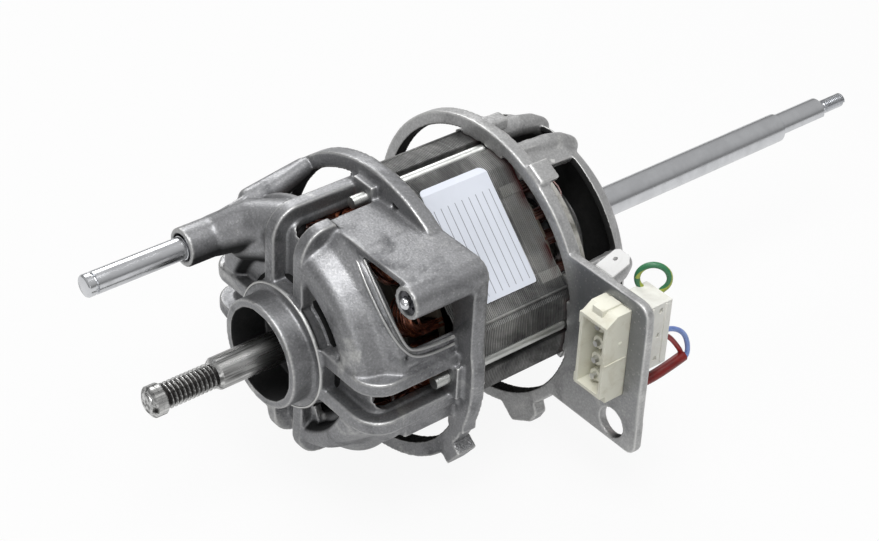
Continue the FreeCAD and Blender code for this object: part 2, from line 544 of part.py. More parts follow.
def rear_bracket():
    back = "(flange_front+flange_w)"
    seat = "(stack_front+stack_len)"
    bell = turned([
        ("bell_r-bell_wall", seat), ("bell_r", seat), ("bell_r", "bell_back", "bell_round"),
        ("end_hub_r", "bell_back"), ("end_hub_r", "bell_back+end_hub"),
        ("shaft_hole", "bell_back+end_hub"), ("shaft_hole", "brg_rear+brg_w+wave_room"),
        ("brg_r", "brg_rear+brg_w+wave_room"), ("brg_r", "brg_rear-1"),
        ("end_hub_r", "brg_rear-1"), ("end_hub_r", "bell_back-bell_wall"),
        ("bell_r-bell_wall", "bell_back-bell_wall", "bell_round-bell_wall")])
    windows = [common(rod("bell_r+1", seat + "-1", "window_back-" + seat + "+1"),
                      cut(wedge(str(q + WINDOW[0]), str(q + WINDOW[1]), seat + "-1",
                                "window_back-" + seat + "+1"),
                          rod("end_hub_r+1", seat + "-1", "window_back-" + seat + "+1")))
               for q in DIRECTIONS]
    side = "(arm_half-channel_half)/2"
    adds, cuts = [], []
    for turn in DIRECTIONS:
        for offset in ("channel_half+" + side, "-channel_half-" + side):
            adds.append(rib([
                ("bell_r-channel_deep", seat), ("flange_in+1", seat), ("flange_in+1", back),
                ("bell_r+0.6", back + "+1"), ("bell_r+0.6", "bell_back-0.3", "bell_round"),
                ("end_hub_r", "bell_back-0.3"), ("end_hub_r", "bell_back-bell_wall"),
                ("bell_r-channel_deep", "bell_back-bell_wall", "bell_round-channel_deep")],
                side, turn, offset))
        adds.append(block("rod_circle-4.6", seat, "-channel_half-1", "flange_in+1-rod_circle+4.6",
                          back + "-" + seat, "2*channel_half+2", turn))
        cuts.append(block("bell_r-channel_deep", back, "-channel_half", "channel_deep+8",
                          "bell_back-bell_round-" + back + "+5", "2*channel_half", turn))
        cuts.append(rod("rod_r+rod_play", seat, back + "-" + seat, x="rod_circle", turn=turn))
    pads = [common(tube("flange_out-1", "stack_r+pilot_gap", "flange_front",
                        seat + "-flange_front"),
                   block("0", "flange_front", "-pilot_half", "flange_out", seat + "-flange_front",
                         "2*pilot_half", turn)) for turn in DIRECTIONS]
    notches = [rod("rod_r+rod_play+0.6", "flange_front", seat + "-flange_front", x="rod_circle",
                   turn=turn) for turn in DIRECTIONS]
    flange = tube("flange_out", "flange_in", "flange_front", "flange_w")
    pad = block("flange_out-1", back + "-3.5", "-pad_half", "2.2", "7", "2*pad_half", PAD_TURN)
    foot = drawn([("flange_in", "-rear_foot_half"), ("flange_in", "rear_foot_half"),
                  ("flange_out+rear_foot_out-2.5", "rear_foot_half-1"),
                  ("flange_out+rear_foot_out", "rear_foot_half-5", "1.5"),
                  ("flange_out+rear_foot_out", "-rear_foot_half+4", "1.5")], "flange_front", "flange_w",
                 REAR_FOOT_TURN)
    plate = drawn([("flange_in-5", "plate_top"), ("plate_right", "plate_top", "plate_corner"),
                   ("plate_right+0.8", "plate_low", "plate_corner-1"),
                   ("flange_in-6", "plate_low"), ("flange_in", "-10"), ("flange_in", "10")],
                  "flange_front", "plate_t")
    room = rod("flange_in", "flange_front", "flange_w")
    eye = rod("eye_r", "flange_front", "plate_t", x="eye_x", z="eye_z")
    gate = block("sock_left-sock_fit", "flange_front", "sock_low-sock_fit",
                 "sock_right-sock_left+2*sock_fit", "plate_t", "sock_high-sock_low+2*sock_fit")
    rivet = rod("rivet_r", "flange_front+0.8", "plate_t-0.8", x="tab_x+2.2", z="tab_z-4")
    lug = block("peg_x", back + "-0.5", "flange_in+0.5", "peg_w", "peg_len+0.5",
                "peg_top-flange_in-0.5")
    arms = join(cut(bell, *windows), fuse(*adds))
    whole = join(cut(arms, *cuts), fuse(flange, pad, lug, *pads), cut(fuse(plate, foot), room))
    piece("rear_bracket", cut(whole, eye, gate, rivet, *notches))


def idler_pin():
    groove = tube("pin_r+1", "pin_r-0.6", "pin_tip+pin_groove", "groove_w", x="pin_reach",
                  turn=PIN_TURN)
    body = rod("pin_r", "pin_tip+0.5", "sleeve_tip-pin_tip-0.5", x="pin_reach", turn=PIN_TURN)
    seat = rod("pin_seat_r", "sleeve_tip", "pin_seat-sleeve_tip", x="pin_reach", turn=PIN_TURN)
    tip = cone("pin_r-0.5", "pin_r", "pin_tip", "0.5", x="pin_reach", turn=PIN_TURN)
    piece("idler_pin", cut(fuse(body, seat, tip), groove))


def boss_pin():
    x, z = "boss_x", "shelf_z-boss_r"
    head = ball("stub_r", x, "boss_front", 0)
    tie(head, Placement__Base__z=z)
    front = common(head, rod("stub_r", "boss_front-stub_r", "stub_r", x=x, z=z))
    piece("boss_pin", fuse(rod("stub_r", "boss_front", "stub_len", x=x, z=z), front))
    piece("push_nut", tube("boss_bore", "stub_r", "boss_front+nut_deep", "nut_t", x=x, z=z))


def connector():
    x, wide = "(sock_left+sock_right)/2", "(sock_right-sock_left)/2"
    back = "(flange_front+plate_t)"
    shell = rib([("sock_mouth_low", "sock_front"), ("sock_mouth_high", "sock_front"),
                 ("sock_high", "sock_front+4"), ("sock_high", back), ("sock_low", back),
                 ("sock_low", "sock_front+2.3"), ("sock_mouth_low", "sock_front+2.3")],
                wide, 90, "-" + x)
    room = block("sock_left+sock_wall", "sock_front", "sock_mouth_low+sock_wall",
                 "sock_right-sock_left-2*sock_wall", "sock_floor-sock_front",
                 "sock_mouth_high-sock_mouth_low-2*sock_wall")
    heights = ["pin_high-%d*pin_pitch" % k for k in range(4)]
    holes = [rod("pin_wide", "sock_floor", back + "-sock_floor", x=x, z=z) for z in heights]
    piece("socket_housing", cut(shell, room, *holes))
    pins = [rod("pin_wide", "pin_front", back + "+4-pin_front", x=x, z=z) for z in heights]
    piece("contact_pins", group(*pins))
    box = block("sock_left", back, "plug_low", "sock_right-sock_left", "plug_back-" + back,
                "plug_high-plug_low")
    seats = [rod("pin_wide", back, "4", x=x, z=z) for z in heights]
    pockets = [block("sock_right-1", back + "+4", "plug_low+%s*pocket_step+3" % k, "2", "3", "2")
               for k in range(3)]
    piece("plug_housing", cut(box, *seats, *pockets))
    leg = block("tab_x", back, "tab_z-8", "tab_w", "tab_t", "8")
    blade = block("tab_x", back, "tab_z", "tab_w", "tab_len", "tab_t")
    hole = rod("rivet_r", back, "tab_t", x="tab_x+2.2", z="tab_z-4")
    dimple = upright("dimple_r", "tab_x+tab_w/2", back + "+tab_len*0.6", "tab_z", "tab_t")
    piece("earth_tab", cut(fuse(leg, blade), hole, dimple))
    shank = rod("rivet_r", "flange_front+0.8", "plate_t-0.8+tab_t", x="tab_x+2.2", z="tab_z-4")
    head = rod("rivet_r+0.9", back + "+tab_t", "1", x="tab_x+2.2", z="tab_z-4")
    piece("tab_rivet", fuse(shank, head))


def rating_label():
    square = block("-stack_flat-label_t", "label_front", "-stack_flat-label_t",
                   "2*(stack_flat+label_t)", "label_back-label_front", "2*(stack_flat+label_t)", 45)
    outside = common(rod("stack_r+label_t", "label_front", "label_back-label_front"), square)
    core = block("-stack_flat", "label_front", "-stack_flat", "2*stack_flat",
                 "label_back-label_front", "2*stack_flat", 45)
    inside = common(rod("stack_r", "label_front", "label_back-label_front"), core)
    groove = rod("rod_groove+0.5", "label_front", "label_back-label_front", x="rod_circle+0.4",
                 turn=90)
    sector = wedge("label_low", "label_high", "label_front", "label_back-label_front")
    piece("rating_label", cut(common(cut(outside, inside), sector), groove))


def wave_washer():
    piece("wave_washer", tube("brg_r-0.2", "brg_r-2.2", "brg_rear+brg_w", "wave_room"))


def wire(label, points, radius):
    """A round wire through points: straight runs joined by tangent arcs."""
    edges, at, length = [], points[0], 0
    for before, spot, after in zip(points, points[1:], points[2:]):
        into, out = (spot - before).normalize(), (after - spot).normalize()
        half = into.getAngle(out) / 2
        reach = 0.45 * min((spot - before).Length, (after - spot).Length)
        bend = reach / math.tan(half)
        start, end = spot - into * reach, spot + out * reach
        middle = (out - into).normalize()
        centre = spot + middle * (bend / math.cos(half))
        edges.append(Part.LineSegment(at, start).toShape())
        edges.append(Part.Arc(start, centre - middle * bend, end).toShape())
        at = end
        print("%s: arc radius %.1f mm" % (label, bend))
    edges.append(Part.LineSegment(at, points[-1]).toShape())
    path = Part.Wire(edges)
    ring = Part.Wire(Part.Circle(points[0], points[1] - points[0], radius).toShape())
    solid = path.makePipeShell([ring], True, False)
    print("%s: length %.1f mm, volume %.1f of %.1f" %
          (label, path.Length, solid.Volume, math.pi * radius ** 2 * path.Length))
    thing = doc.addObject("Part::Feature", label)
    thing.Shape = solid
    return piece(label, thing)


def spot(x, y, z):
    return FreeCAD.Vector(value(x), value(y), value(z))


def leads():
    x, y, top = "earth_x", "plug_back-earth_foot", "plug_high"
    wide = "earth_loop"
    wire("earth_loop_wire", [
        spot(x + "-0.8*" + wide, y, top), spot(x + "-0.8*" + wide, y, top + "+1.1*" + wide),
        spot(x + "-0.4*" + wide, y, top + "+1.95*" + wide),
        spot(x + "+0.4*" + wide, y, top + "+1.95*" + wide),
        spot(x + "+0.8*" + wide, y, top + "+1.1*" + wide), spot(x + "+0.8*" + wide, y, top)],
        value("earth_wire_r"))
    wire("blue_wire", [
        spot("sleeve_x+0.85", "plug_back", "7"), spot("sleeve_x+0.85", "plug_back+4", "7"),
        spot("sleeve_x+0.9", "plug_back+8.9", "3.8"), spot("sleeve_x+0.9", "plug_back+11.7", "-2"),
        spot("sleeve_x+0.85", "sleeve_y+2.35", "sleeve_z+0.48"),
        spot("sleeve_x+0.85", "sleeve_y", "sleeve_z")], value("lead_r"))
    wire("red_wire", [
        spot("sleeve_x-0.85", "plug_back", "4.6"), spot("sleeve_x-0.85", "plug_back+3.6", "4.6"),
        spot("sleeve_x-0.9", "plug_back+8", "0.8"), spot("sleeve_x-0.9", "plug_back+10.4", "-3.6"),
        spot("sleeve_x-0.85", "sleeve_y+2.35", "sleeve_z+0.48"),
        spot("sleeve_x-0.85", "sleeve_y", "sleeve_z")], value("lead_r"))
    path = [("lead_in", 82), ("lead_out", 70), ("lead_out", 57), ("lead_out", 44),
            ("lead_out", 31), ("lead_in", 19)]
    wire("phase_lead", [spot("%s*cos(%s)" % p, "lead_y", "%s*sin(%s)" % p) for p in path],
         value("phase_lead_r"))
    wire("lead_sleeve", [
        spot("sleeve_x", "sleeve_y", "sleeve_z"), spot("sleeve_x", "sleeve_y-9.8", "sleeve_z-2"),
        spot("sleeve_x-2", "sleeve_y-17.6", "sleeve_z-4.4"),
        spot("sleeve_x-10", "sleeve_y-19", "sleeve_z-7.8"),
        spot("sleeve_x-19", "sleeve_y-17.2", "sleeve_z-10"),
        spot("sleeve_x-28", "sleeve_y-13", "sleeve_z-11")], value("sleeve_wire_r"))


def checked():
    doc.recompute()
    for thing in doc.Objects:
        if "Invalid" in thing.State or "Error" in thing.State:
            raise SystemExit("failed: %s %s %s" % (thing.Name, thing.Label, thing.State))
    for thing in pieces:
        if thing.Shape.isNull() or not thing.Shape.isValid():
            raise SystemExit("bad shape: " + thing.Label)


rotor_shaft()
bearing("front", "brg_front")
bearing("rear", "brg_rear")
rotor()
stator()
slot_wedges()
terminal_strip()
windings()
screws()
front_bracket()
rear_bracket()
idler_pin()
boss_pin()
connector()
rating_label()
wave_washer()
leads()
checked()
os.makedirs("parts", exist_ok=True)
for thing in pieces:
    thing.Shape.exportStep("parts/%s.step" % thing.Label)
    print(thing.Label, len(thing.Shape.Solids), round(thing.Shape.Volume))
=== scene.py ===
import json
import math
import random

import bpy
from mathutils import Matrix, Vector


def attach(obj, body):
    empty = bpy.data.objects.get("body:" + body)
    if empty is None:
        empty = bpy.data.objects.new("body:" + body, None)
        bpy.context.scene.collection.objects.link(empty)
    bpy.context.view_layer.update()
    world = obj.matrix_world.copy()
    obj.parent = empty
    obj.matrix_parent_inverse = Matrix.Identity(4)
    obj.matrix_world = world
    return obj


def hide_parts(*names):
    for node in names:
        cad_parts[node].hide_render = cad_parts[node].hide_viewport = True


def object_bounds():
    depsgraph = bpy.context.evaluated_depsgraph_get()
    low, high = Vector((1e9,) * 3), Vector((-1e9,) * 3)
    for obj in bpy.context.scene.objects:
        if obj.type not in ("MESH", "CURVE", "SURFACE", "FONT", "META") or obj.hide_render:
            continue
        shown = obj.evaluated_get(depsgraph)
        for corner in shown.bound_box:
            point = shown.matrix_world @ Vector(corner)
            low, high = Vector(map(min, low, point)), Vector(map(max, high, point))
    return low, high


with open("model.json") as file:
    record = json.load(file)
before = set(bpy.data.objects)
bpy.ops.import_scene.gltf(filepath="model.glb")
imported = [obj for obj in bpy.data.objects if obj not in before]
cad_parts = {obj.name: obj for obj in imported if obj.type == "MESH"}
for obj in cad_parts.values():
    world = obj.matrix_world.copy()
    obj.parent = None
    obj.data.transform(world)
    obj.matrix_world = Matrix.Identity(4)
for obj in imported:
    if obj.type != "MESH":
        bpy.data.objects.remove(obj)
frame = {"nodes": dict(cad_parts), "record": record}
cadBox = [list(corner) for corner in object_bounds()]
mm = 0.001
weldGap, fineGap = 0.00001, 0.000002  # points closer than this are merged
quarterTurns = (0, 90, 180, 270)
nodeBody = {name: body for body, members in frame["record"]["behaviour"]["bodies"].items()
            for name in members}
nodeSlot = {part["node"]: part["material_slot"] for part in frame["record"]["subparts"]}
print("frame loaded:", len(frame["nodes"]), "nodes")


# camera at the photograph's place

cameraSettings = {
    "azimuth": 49.4, "elevation": 35.55, "roll": 2.83, "distance": 638.3, "focalPixels": 2083.3,
    "target": (1.75, 65.89, 3.50), "imageWidth": 879, "sensor": 36.0,
}


def addCamera(s):
    azimuth, elevation, roll = (math.radians(s[k]) for k in ("azimuth", "elevation", "roll"))
    back = Vector((math.sin(azimuth) * math.cos(elevation),
                   -math.cos(azimuth) * math.cos(elevation), math.sin(elevation)))
    right = Vector((math.cos(azimuth), math.sin(azimuth), 0))
    up = back.cross(right)
    rolledRight = right * math.cos(roll) + up * math.sin(roll)
    rolledUp = up * math.cos(roll) - right * math.sin(roll)
    turn = Matrix((rolledRight, rolledUp, back)).transposed().to_4x4()
    data = bpy.data.cameras.new("camera")
    data.sensor_width = s["sensor"]
    data.lens = s["focalPixels"] / s["imageWidth"] * s["sensor"]
    data.clip_start, data.clip_end = 0.01, 20
    camera = bpy.data.objects.new("camera", data)
    bpy.context.scene.collection.objects.link(camera)
    place = (Vector(s["target"]) + back * s["distance"]) * mm
    camera.matrix_world = Matrix.Translation(place) @ turn
    bpy.context.scene.camera = camera


addCamera(cameraSettings)


# selecting, applying and finishing

def clearSelection():
    if bpy.context.mode != "OBJECT":
        bpy.ops.object.mode_set(mode="OBJECT")
    bpy.ops.object.select_all(action="DESELECT")


def makeActive(piece):
    clearSelection()
    piece.select_set(True)
    bpy.context.view_layer.objects.active = piece


def modify(piece, kind, **settings):  # adds a modifier and applies it at once
    modifier = piece.modifiers.new(kind.lower(), kind)
    for key, value in settings.items():
        setattr(modifier, key, value)
    makeActive(piece)
    bpy.ops.object.modifier_apply(modifier=modifier.name)


def placeInMesh(piece):
    makeActive(piece)
    bpy.ops.object.transform_apply(location=True, rotation=True, scale=True)


def startEdit(piece):  # in edit mode with all selected
    makeActive(piece)
    bpy.ops.object.mode_set(mode="EDIT")
    bpy.ops.mesh.select_all(action="SELECT")


def endEdit():
    bpy.ops.object.mode_set(mode="OBJECT")


def editAll(piece, operator, **settings):
    startEdit(piece)
    operator(**settings)
    endEdit()


def mergeDoubles(piece, distance=weldGap):
    editAll(piece, bpy.ops.mesh.remove_doubles, threshold=distance)


def smoothByAngle(piece, degrees=35):
    makeActive(piece)
    bpy.ops.object.shade_smooth_by_angle(angle=math.radians(degrees))


def joinPieces(name, parts):
    clearSelection()
    for part in parts:
        part.select_set(True)
    bpy.context.view_layer.objects.active = parts[0]
    if len(parts) > 1:
        bpy.ops.object.join()
    parts[0].name = name
    parts[0].data.name = name
    return parts[0]


def copyNode(node, name):  # a copy of the CAD node's mesh, its seams closed
    piece = bpy.data.objects.new(name, frame["nodes"][node].data.copy())
    piece.data.name = name
    bpy.context.scene.collection.objects.link(piece)
    piece.data.materials.clear()
    mergeDoubles(piece)
    return piece


def finishPiece(piece, finish, body, slotName, *nodes):  # nodes: the CAD nodes it replaces
    piece.data.materials.clear()
    piece.data.materials.append(finishes[finish])
    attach(piece, body)
    if nodes:
        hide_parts(*nodes)


def standFor(piece, node, finish, smooth=None):  # takes the CAD node's place and body
    if smooth:
        smoothByAngle(piece, smooth)
    finishPiece(piece, finish, nodeBody[node], nodeSlot[node], node)


# shader node groups that several finishes share

def newGroup(name, inputs, outputs):  # a vector and plain values in, plain values out
    tree = bpy.data.node_groups.new(name, "ShaderNodeTree")
    tree.interface.new_socket("Vector", in_out="INPUT", socket_type="NodeSocketVector")
    for label, value in inputs.items():
        socket = tree.interface.new_socket(label, in_out="INPUT", socket_type="NodeSocketFloat")
        socket.default_value = value
    for label in outputs:
        tree.interface.new_socket(label, in_out="OUTPUT", socket_type="NodeSocketFloat")
    return tree, tree.nodes.new("NodeGroupInput").outputs, tree.nodes.new("NodeGroupOutput")


def setSocket(tree, socket, value):  # a link or a constant
    if isinstance(value, bpy.types.NodeSocket):
        tree.links.new(value, socket)
    elif value is not None:
        socket.default_value = (*value, 1) if socket.type == "RGBA" else value


def feed(tree, node, **inputs):
    for key, value in inputs.items():
        setSocket(tree, node.inputs[key.replace("_", " ")], value)


def addNode(tree, kind, settings=None, **inputs):
    node = tree.nodes.new("ShaderNode" + kind)
    for key, value in (settings or {}).items():
        setattr(node, key, value)
    feed(tree, node, **inputs)
    return node


def rampNode(tree, source, stops):
    ramp = addNode(tree, "ValToRGB", Fac=source)
    while len(ramp.color_ramp.elements) < len(stops):
        ramp.color_ramp.elements.new(0.5)
    for element, (at, colour) in zip(ramp.color_ramp.elements, stops):
        element.position = at
        element.color = (colour, colour, colour, 1) if isinstance(colour, float) else (*colour, 1)
    return ramp.outputs["Color"]


def mathNode(tree, operation, a, b=None):
    node = addNode(tree, "Math", {"operation": operation})
    setSocket(tree, node.inputs[0], a)
    setSocket(tree, node.inputs[1], b)
    return node.outputs["Value"]


def product(tree, *factors):
    result = factors[0]
    for factor in factors[1:]:
        result = mathNode(tree, "MULTIPLY", result, factor)
    return result


def rangeNode(tree, source, start, end, low=0.0, high=1.0):
    node = addNode(tree, "MapRange", Value=source, From_Min=start, From_Max=end, To_Min=low,
                   To_Max=high)
    return node.outputs["Result"]


def vectorNode(tree, operation, a, b=None):
    node = addNode(tree, "VectorMath", {"operation": operation})
    setSocket(tree, node.inputs[0], a)
    setSocket(tree, node.inputs[1], b)
    return node.outputs["Value" if operation in ("DOT_PRODUCT", "LENGTH") else "Vector"]


def mixColour(tree, factor, a, b, blend="MIX"):
    mix = addNode(tree, "Mix", {"data_type": "RGBA", "blend_type": blend})
    for k, value in ((0, factor), (6, a), (7, b)):
        setSocket(tree, mix.inputs[k], value)
    return mix.outputs[2]


def placeVector(tree, kind="Object"):
    return addNode(tree, "TexCoord").outputs[kind]


def splitPlace(tree, kind="Object"):
    return addNode(tree, "SeparateXYZ", Vector=placeVector(tree, kind)).outputs


def makeMottleGroup():
    tree, entry, leave = newGroup("mottle", {"Patch": 90.0, "Grain": 1600.0},
                                  ("Mask", "Grain", "Speck"))
    patch = addNode(tree, "TexNoise", Vector=entry["Vector"], Scale=entry["Patch"], Detail=5.0,
                    Roughness=0.62, Distortion=0.6)
    fine = addNode(tree, "TexNoise", Vector=entry["Vector"], Scale=entry["Grain"], Detail=3.0,
                   Roughness=0.6)
    speck = addNode(tree, "TexVoronoi", {"feature": "F1"}, Vector=entry["Vector"],
                    Scale=product(tree, entry["Grain"], 0.45), Randomness=1.0)
    feed(tree, leave, Mask=patch.outputs["Fac"], Grain=fine.outputs["Fac"],
         Speck=speck.outputs["Distance"])
    return tree


def makeTurningGroup():
    tree, entry, leave = newGroup("turning_marks", {"Along": 1.0, "Around": 0.02, "Scale": 2500.0},
                                  ("Marks",))
    shares = addNode(tree, "CombineXYZ", X=entry["Around"], Y=entry["Along"], Z=entry["Around"])
    drawn = vectorNode(tree, "MULTIPLY", entry["Vector"], shares.outputs["Vector"])
    noise = addNode(tree, "TexNoise", Vector=drawn, Scale=entry["Scale"], Detail=2.0, Roughness=0.5)
    feed(tree, leave, Marks=noise.outputs["Fac"])
    return tree


groups = {"mottle": makeMottleGroup(), "turning": makeTurningGroup()}


def useGroup(tree, name, **inputs):
    node = tree.nodes.new("ShaderNodeGroup")
    node.node_tree = groups[name]
    feed(tree, node, Vector=placeVector(tree), **inputs)
    return node.outputs


def newMaterial(name, **inputs):
    material = bpy.data.materials.new(name)
    material.use_nodes = True
    surface = material.node_tree.nodes["Principled BSDF"]
    feed(material.node_tree, surface, **inputs)
    return material, material.node_tree, surface


def bumpFrom(tree, surface, height, strength, distance=0.0001):
    bump = addNode(tree, "Bump", Height=height, Strength=strength, Distance=distance)
    feed(tree, surface, Normal=bump.outputs["Normal"])


def finishByGrain(tree, surface, mottle, valley, peak, bump):  # roughness and bump
    rough = rampNode(tree, mottle["Grain"], [(0.3, valley), (0.7, peak)])
    feed(tree, surface, Roughness=rough)
    bumpFrom(tree, surface, mottle["Grain"], bump)


# finishes of this motor's own materials

# edge is the painted highlight colour on convex edges, face the painted shade colour on the
# connector plate's face, inside the share of the middle colour kept in the painted shade; hubOut,
# hubFrom, inward and inwardFrom bound that painted shade
castFinishes = {  # faceFrom: where the connector plate starts, for the front beyond all of it
    "front": {"dark": (0.12, 0.122, 0.128), "middle": (0.26, 0.262, 0.270),
              "light": (0.50, 0.50, 0.49), "edge": (0.74, 0.74, 0.72), "metallic": 0.80,
              "rough": (0.36, 0.50), "patch": 62.0, "bump": 0.26, "inside": 0.06,
              "faceFrom": 1000.0, "face": (0.2, 0.2, 0.2), "hubOut": 21.5, "hubFrom": 12.4,
              "inward": 1, "inwardFrom": -37.0, "underside": -16.0},
    "rear": {"dark": (0.27, 0.27, 0.272), "middle": (0.43, 0.43, 0.43),
             "light": (0.60, 0.60, 0.585), "edge": (0.78, 0.78, 0.76), "metallic": 0.72,
             "rough": (0.36, 0.52), "patch": 75.0, "bump": 0.28, "inside": 0.02,
             "faceFrom": 41.0, "face": (0.185, 0.193, 0.203), "hubOut": 0.0, "hubFrom": 0.0,
             "inward": -1, "inwardFrom": 90.0, "underside": -32.0},
}
# shares for the castings: grain, specks and bumps are the metal's own; the edge share is a painted
# highlight on convex edges, the hollow share a painted shade in concave spots, the shares for walls
# out of the light a painted shade, and the face shares a painted shade on the connector plate's
# face
castWearAndPaintedLight = {"grainScale": 1500.0, "grain": 0.55, "edge": 0.85, "hollowShade": 0.8,
            "hollowShadeColour": (0.035, 0.035, 0.037), "speck": 0.28, "paintedShade": 0.93,
            "paintedShadeRough": 0.95, "facing": (-0.25, -0.75), "inward": (0.3, 0.6),
            "faceRise": 6.0, "faceHeights": (-22.0, 10.0), "faceShares": (0.15, 0.85),
            "patchHeight": 2.2, "underHeight": 9.0, "underFade": 8.0, "bumpDistance": 0.0003}


def castMaterial(name, s, wearAndPaintedLight):
    material, tree, surface = newMaterial(name, Metallic=s["metallic"])
    mottle = useGroup(tree, "mottle", Patch=s["patch"], Grain=wearAndPaintedLight["grainScale"])
    place, normal = splitPlace(tree), splitPlace(tree, "Normal")

    # painted shade: walls that look at the shaft, what lies behind the hub, and the bowls' insides
    # are painted nearly black
    outward = vectorNode(tree, "MULTIPLY", placeVector(tree), (1, 0, 1))
    unit = vectorNode(tree, "NORMALIZE", outward)
    facing = vectorNode(tree, "DOT_PRODUCT", unit, placeVector(tree, "Normal"))
    inner = rangeNode(tree, facing, *wearAndPaintedLight["facing"])
    near = mathNode(tree, "LESS_THAN", vectorNode(tree, "LENGTH", outward), s["hubOut"] * mm)
    behind = product(tree, near, mathNode(tree, "GREATER_THAN", place["Y"], s["hubFrom"] * mm))
    inward = rangeNode(tree, product(tree, normal["Y"], s["inward"]), *wearAndPaintedLight["inward"])
    deep = mathNode(tree, "GREATER_THAN", product(tree, place["Y"], -s["inward"]),
                    s["inwardFrom"] * mm)
    paintedShade = mathNode(tree, "MAXIMUM", mathNode(tree, "MAXIMUM", inner, behind),
                      product(tree, inward, deep))

    # painted shade on the connector plate's face, darker towards its top
    low, high = wearAndPaintedLight["faceHeights"]
    face = product(tree, mathNode(tree, "LESS_THAN", normal["Y"], -0.9),
                   rangeNode(tree, place["X"], s["faceFrom"] * mm,
                             (s["faceFrom"] + wearAndPaintedLight["faceRise"]) * mm),
                   rangeNode(tree, place["Z"], low * mm, high * mm, *wearAndPaintedLight["faceShares"]))

    # pointiness: painted highlight on convex edges, painted shade in concave spots
    pointiness = addNode(tree, "NewGeometry").outputs["Pointiness"]
    edge = rampNode(tree, pointiness, [(0.512, 0.0), (0.575, 1.0)])
    hollow = rampNode(tree, pointiness, [(0.42, 1.0), (0.488, 0.0)])
    speck = rampNode(tree, mottle["Speck"], [(0.12, 1.0), (0.26, 0.0)])
    grain = rampNode(tree, mottle["Grain"], [(0.38, 0.72), (0.55, 1.0), (0.68, 1.25)])
    colour = rampNode(tree, mottle["Mask"], [(0.32, s["dark"]), (0.46, s["middle"]),
                                             (0.57, s["middle"]), (0.72, s["light"])])
    colour = mixColour(tree, wearAndPaintedLight["grain"], colour, grain, "MULTIPLY")
    # mixed over the metal: painted shade on the plate's face, painted highlights on edges, painted
    # shade in hollows, the metal's own light specks, and painted shade on walls out of the light
    shadow = tuple(s["inside"] * c for c in s["middle"])
    for share, tint in ((face, s["face"]), (product(tree, edge, wearAndPaintedLight["edge"]), s["edge"]),
                        (product(tree, hollow, wearAndPaintedLight["hollowShade"]), wearAndPaintedLight["hollowShadeColour"]),
                        (product(tree, speck, wearAndPaintedLight["speck"]), s["light"]),
                        (product(tree, paintedShade, wearAndPaintedLight["paintedShade"]), shadow)):
        colour = mixColour(tree, share, colour, tint)

    smooth, rough = s["rough"]
    rough = rangeNode(tree, mottle["Mask"], 0.3, 0.7, rough, smooth)
    rough = mathNode(tree, "MAXIMUM", rough, product(tree, paintedShade, wearAndPaintedLight["paintedShadeRough"]))
    feed(tree, surface, Base_Color=colour, Roughness=rough)
    under = rangeNode(tree, place["Z"], s["underside"] * mm,
                      (s["underside"] - wearAndPaintedLight["underFade"]) * mm, 1.0, wearAndPaintedLight["underHeight"])
    height = mathNode(tree, "ADD", product(tree, mottle["Mask"], wearAndPaintedLight["patchHeight"]),
                      product(tree, mottle["Grain"], under))
    bumpFrom(tree, surface, height, s["bump"], wearAndPaintedLight["bumpDistance"])
    return material


steelFinishes = {
    "polished_shaft": {"colour": (0.66, 0.67, 0.69), "dull": 0.90, "rough": (0.17, 0.27),
                       "along": 0.4, "around": 0.3, "scale": 500.0, "bump": 0.01},
    "streaked_shaft": {"colour": (0.62, 0.62, 0.61), "dull": 0.22, "rough": (0.22, 0.42),
                       "along": 0.045, "around": 1.0, "scale": 900.0, "bump": 0.25},
    "zinc_screw": {"colour": (0.60, 0.61, 0.59), "dull": 0.72, "rough": (0.34, 0.44),
                   "along": 0.1, "around": 1.0, "scale": 500.0, "bump": 0.02},
    # thread_root is near black: painted shade in the thread's valleys
    "thread_root": {"colour": (0.035, 0.033, 0.032), "dull": 0.6, "rough": (0.4, 0.6),
                    "along": 1.0, "around": 1.0, "scale": 900.0, "bump": 0.05},
    "bearing": {"colour": (0.50, 0.51, 0.52), "dull": 0.72, "rough": (0.15, 0.30),
                "along": 1.0, "around": 0.02, "scale": 2000.0, "bump": 0.04},
    "spring": {"colour": (0.12, 0.12, 0.13), "dull": 0.72, "rough": (0.30, 0.45),
               "along": 1.0, "around": 1.0, "scale": 900.0, "bump": 0.05},
    "tinned": {"colour": (0.74, 0.74, 0.72), "dull": 0.9, "rough": (0.30, 0.45),
               "along": 1.0, "around": 0.3, "scale": 1200.0, "bump": 0.06},
}
markShare = 0.75  # how much of the steel's shade the turning marks give


def steelMaterial(name, s):
    material, tree, surface = newMaterial(name, Metallic=1.0)
    marks = useGroup(tree, "turning", Along=s["along"], Around=s["around"], Scale=s["scale"])
    mottle = useGroup(tree, "mottle", Patch=140.0, Grain=2200.0)
    shade = mathNode(tree, "ADD", product(tree, marks["Marks"], markShare),
                     product(tree, mottle["Mask"], 1 - markShare))
    dull = tuple(s["dull"] * c for c in s["colour"])
    low, high = s["rough"]
    feed(tree, surface, Base_Color=rampNode(tree, shade, [(0.38, dull), (0.58, s["colour"])]),
         Roughness=rampNode(tree, shade, [(0.35, high), (0.65, low)]))
    bumpFrom(tree, surface, marks["Marks"], s["bump"])
    return material


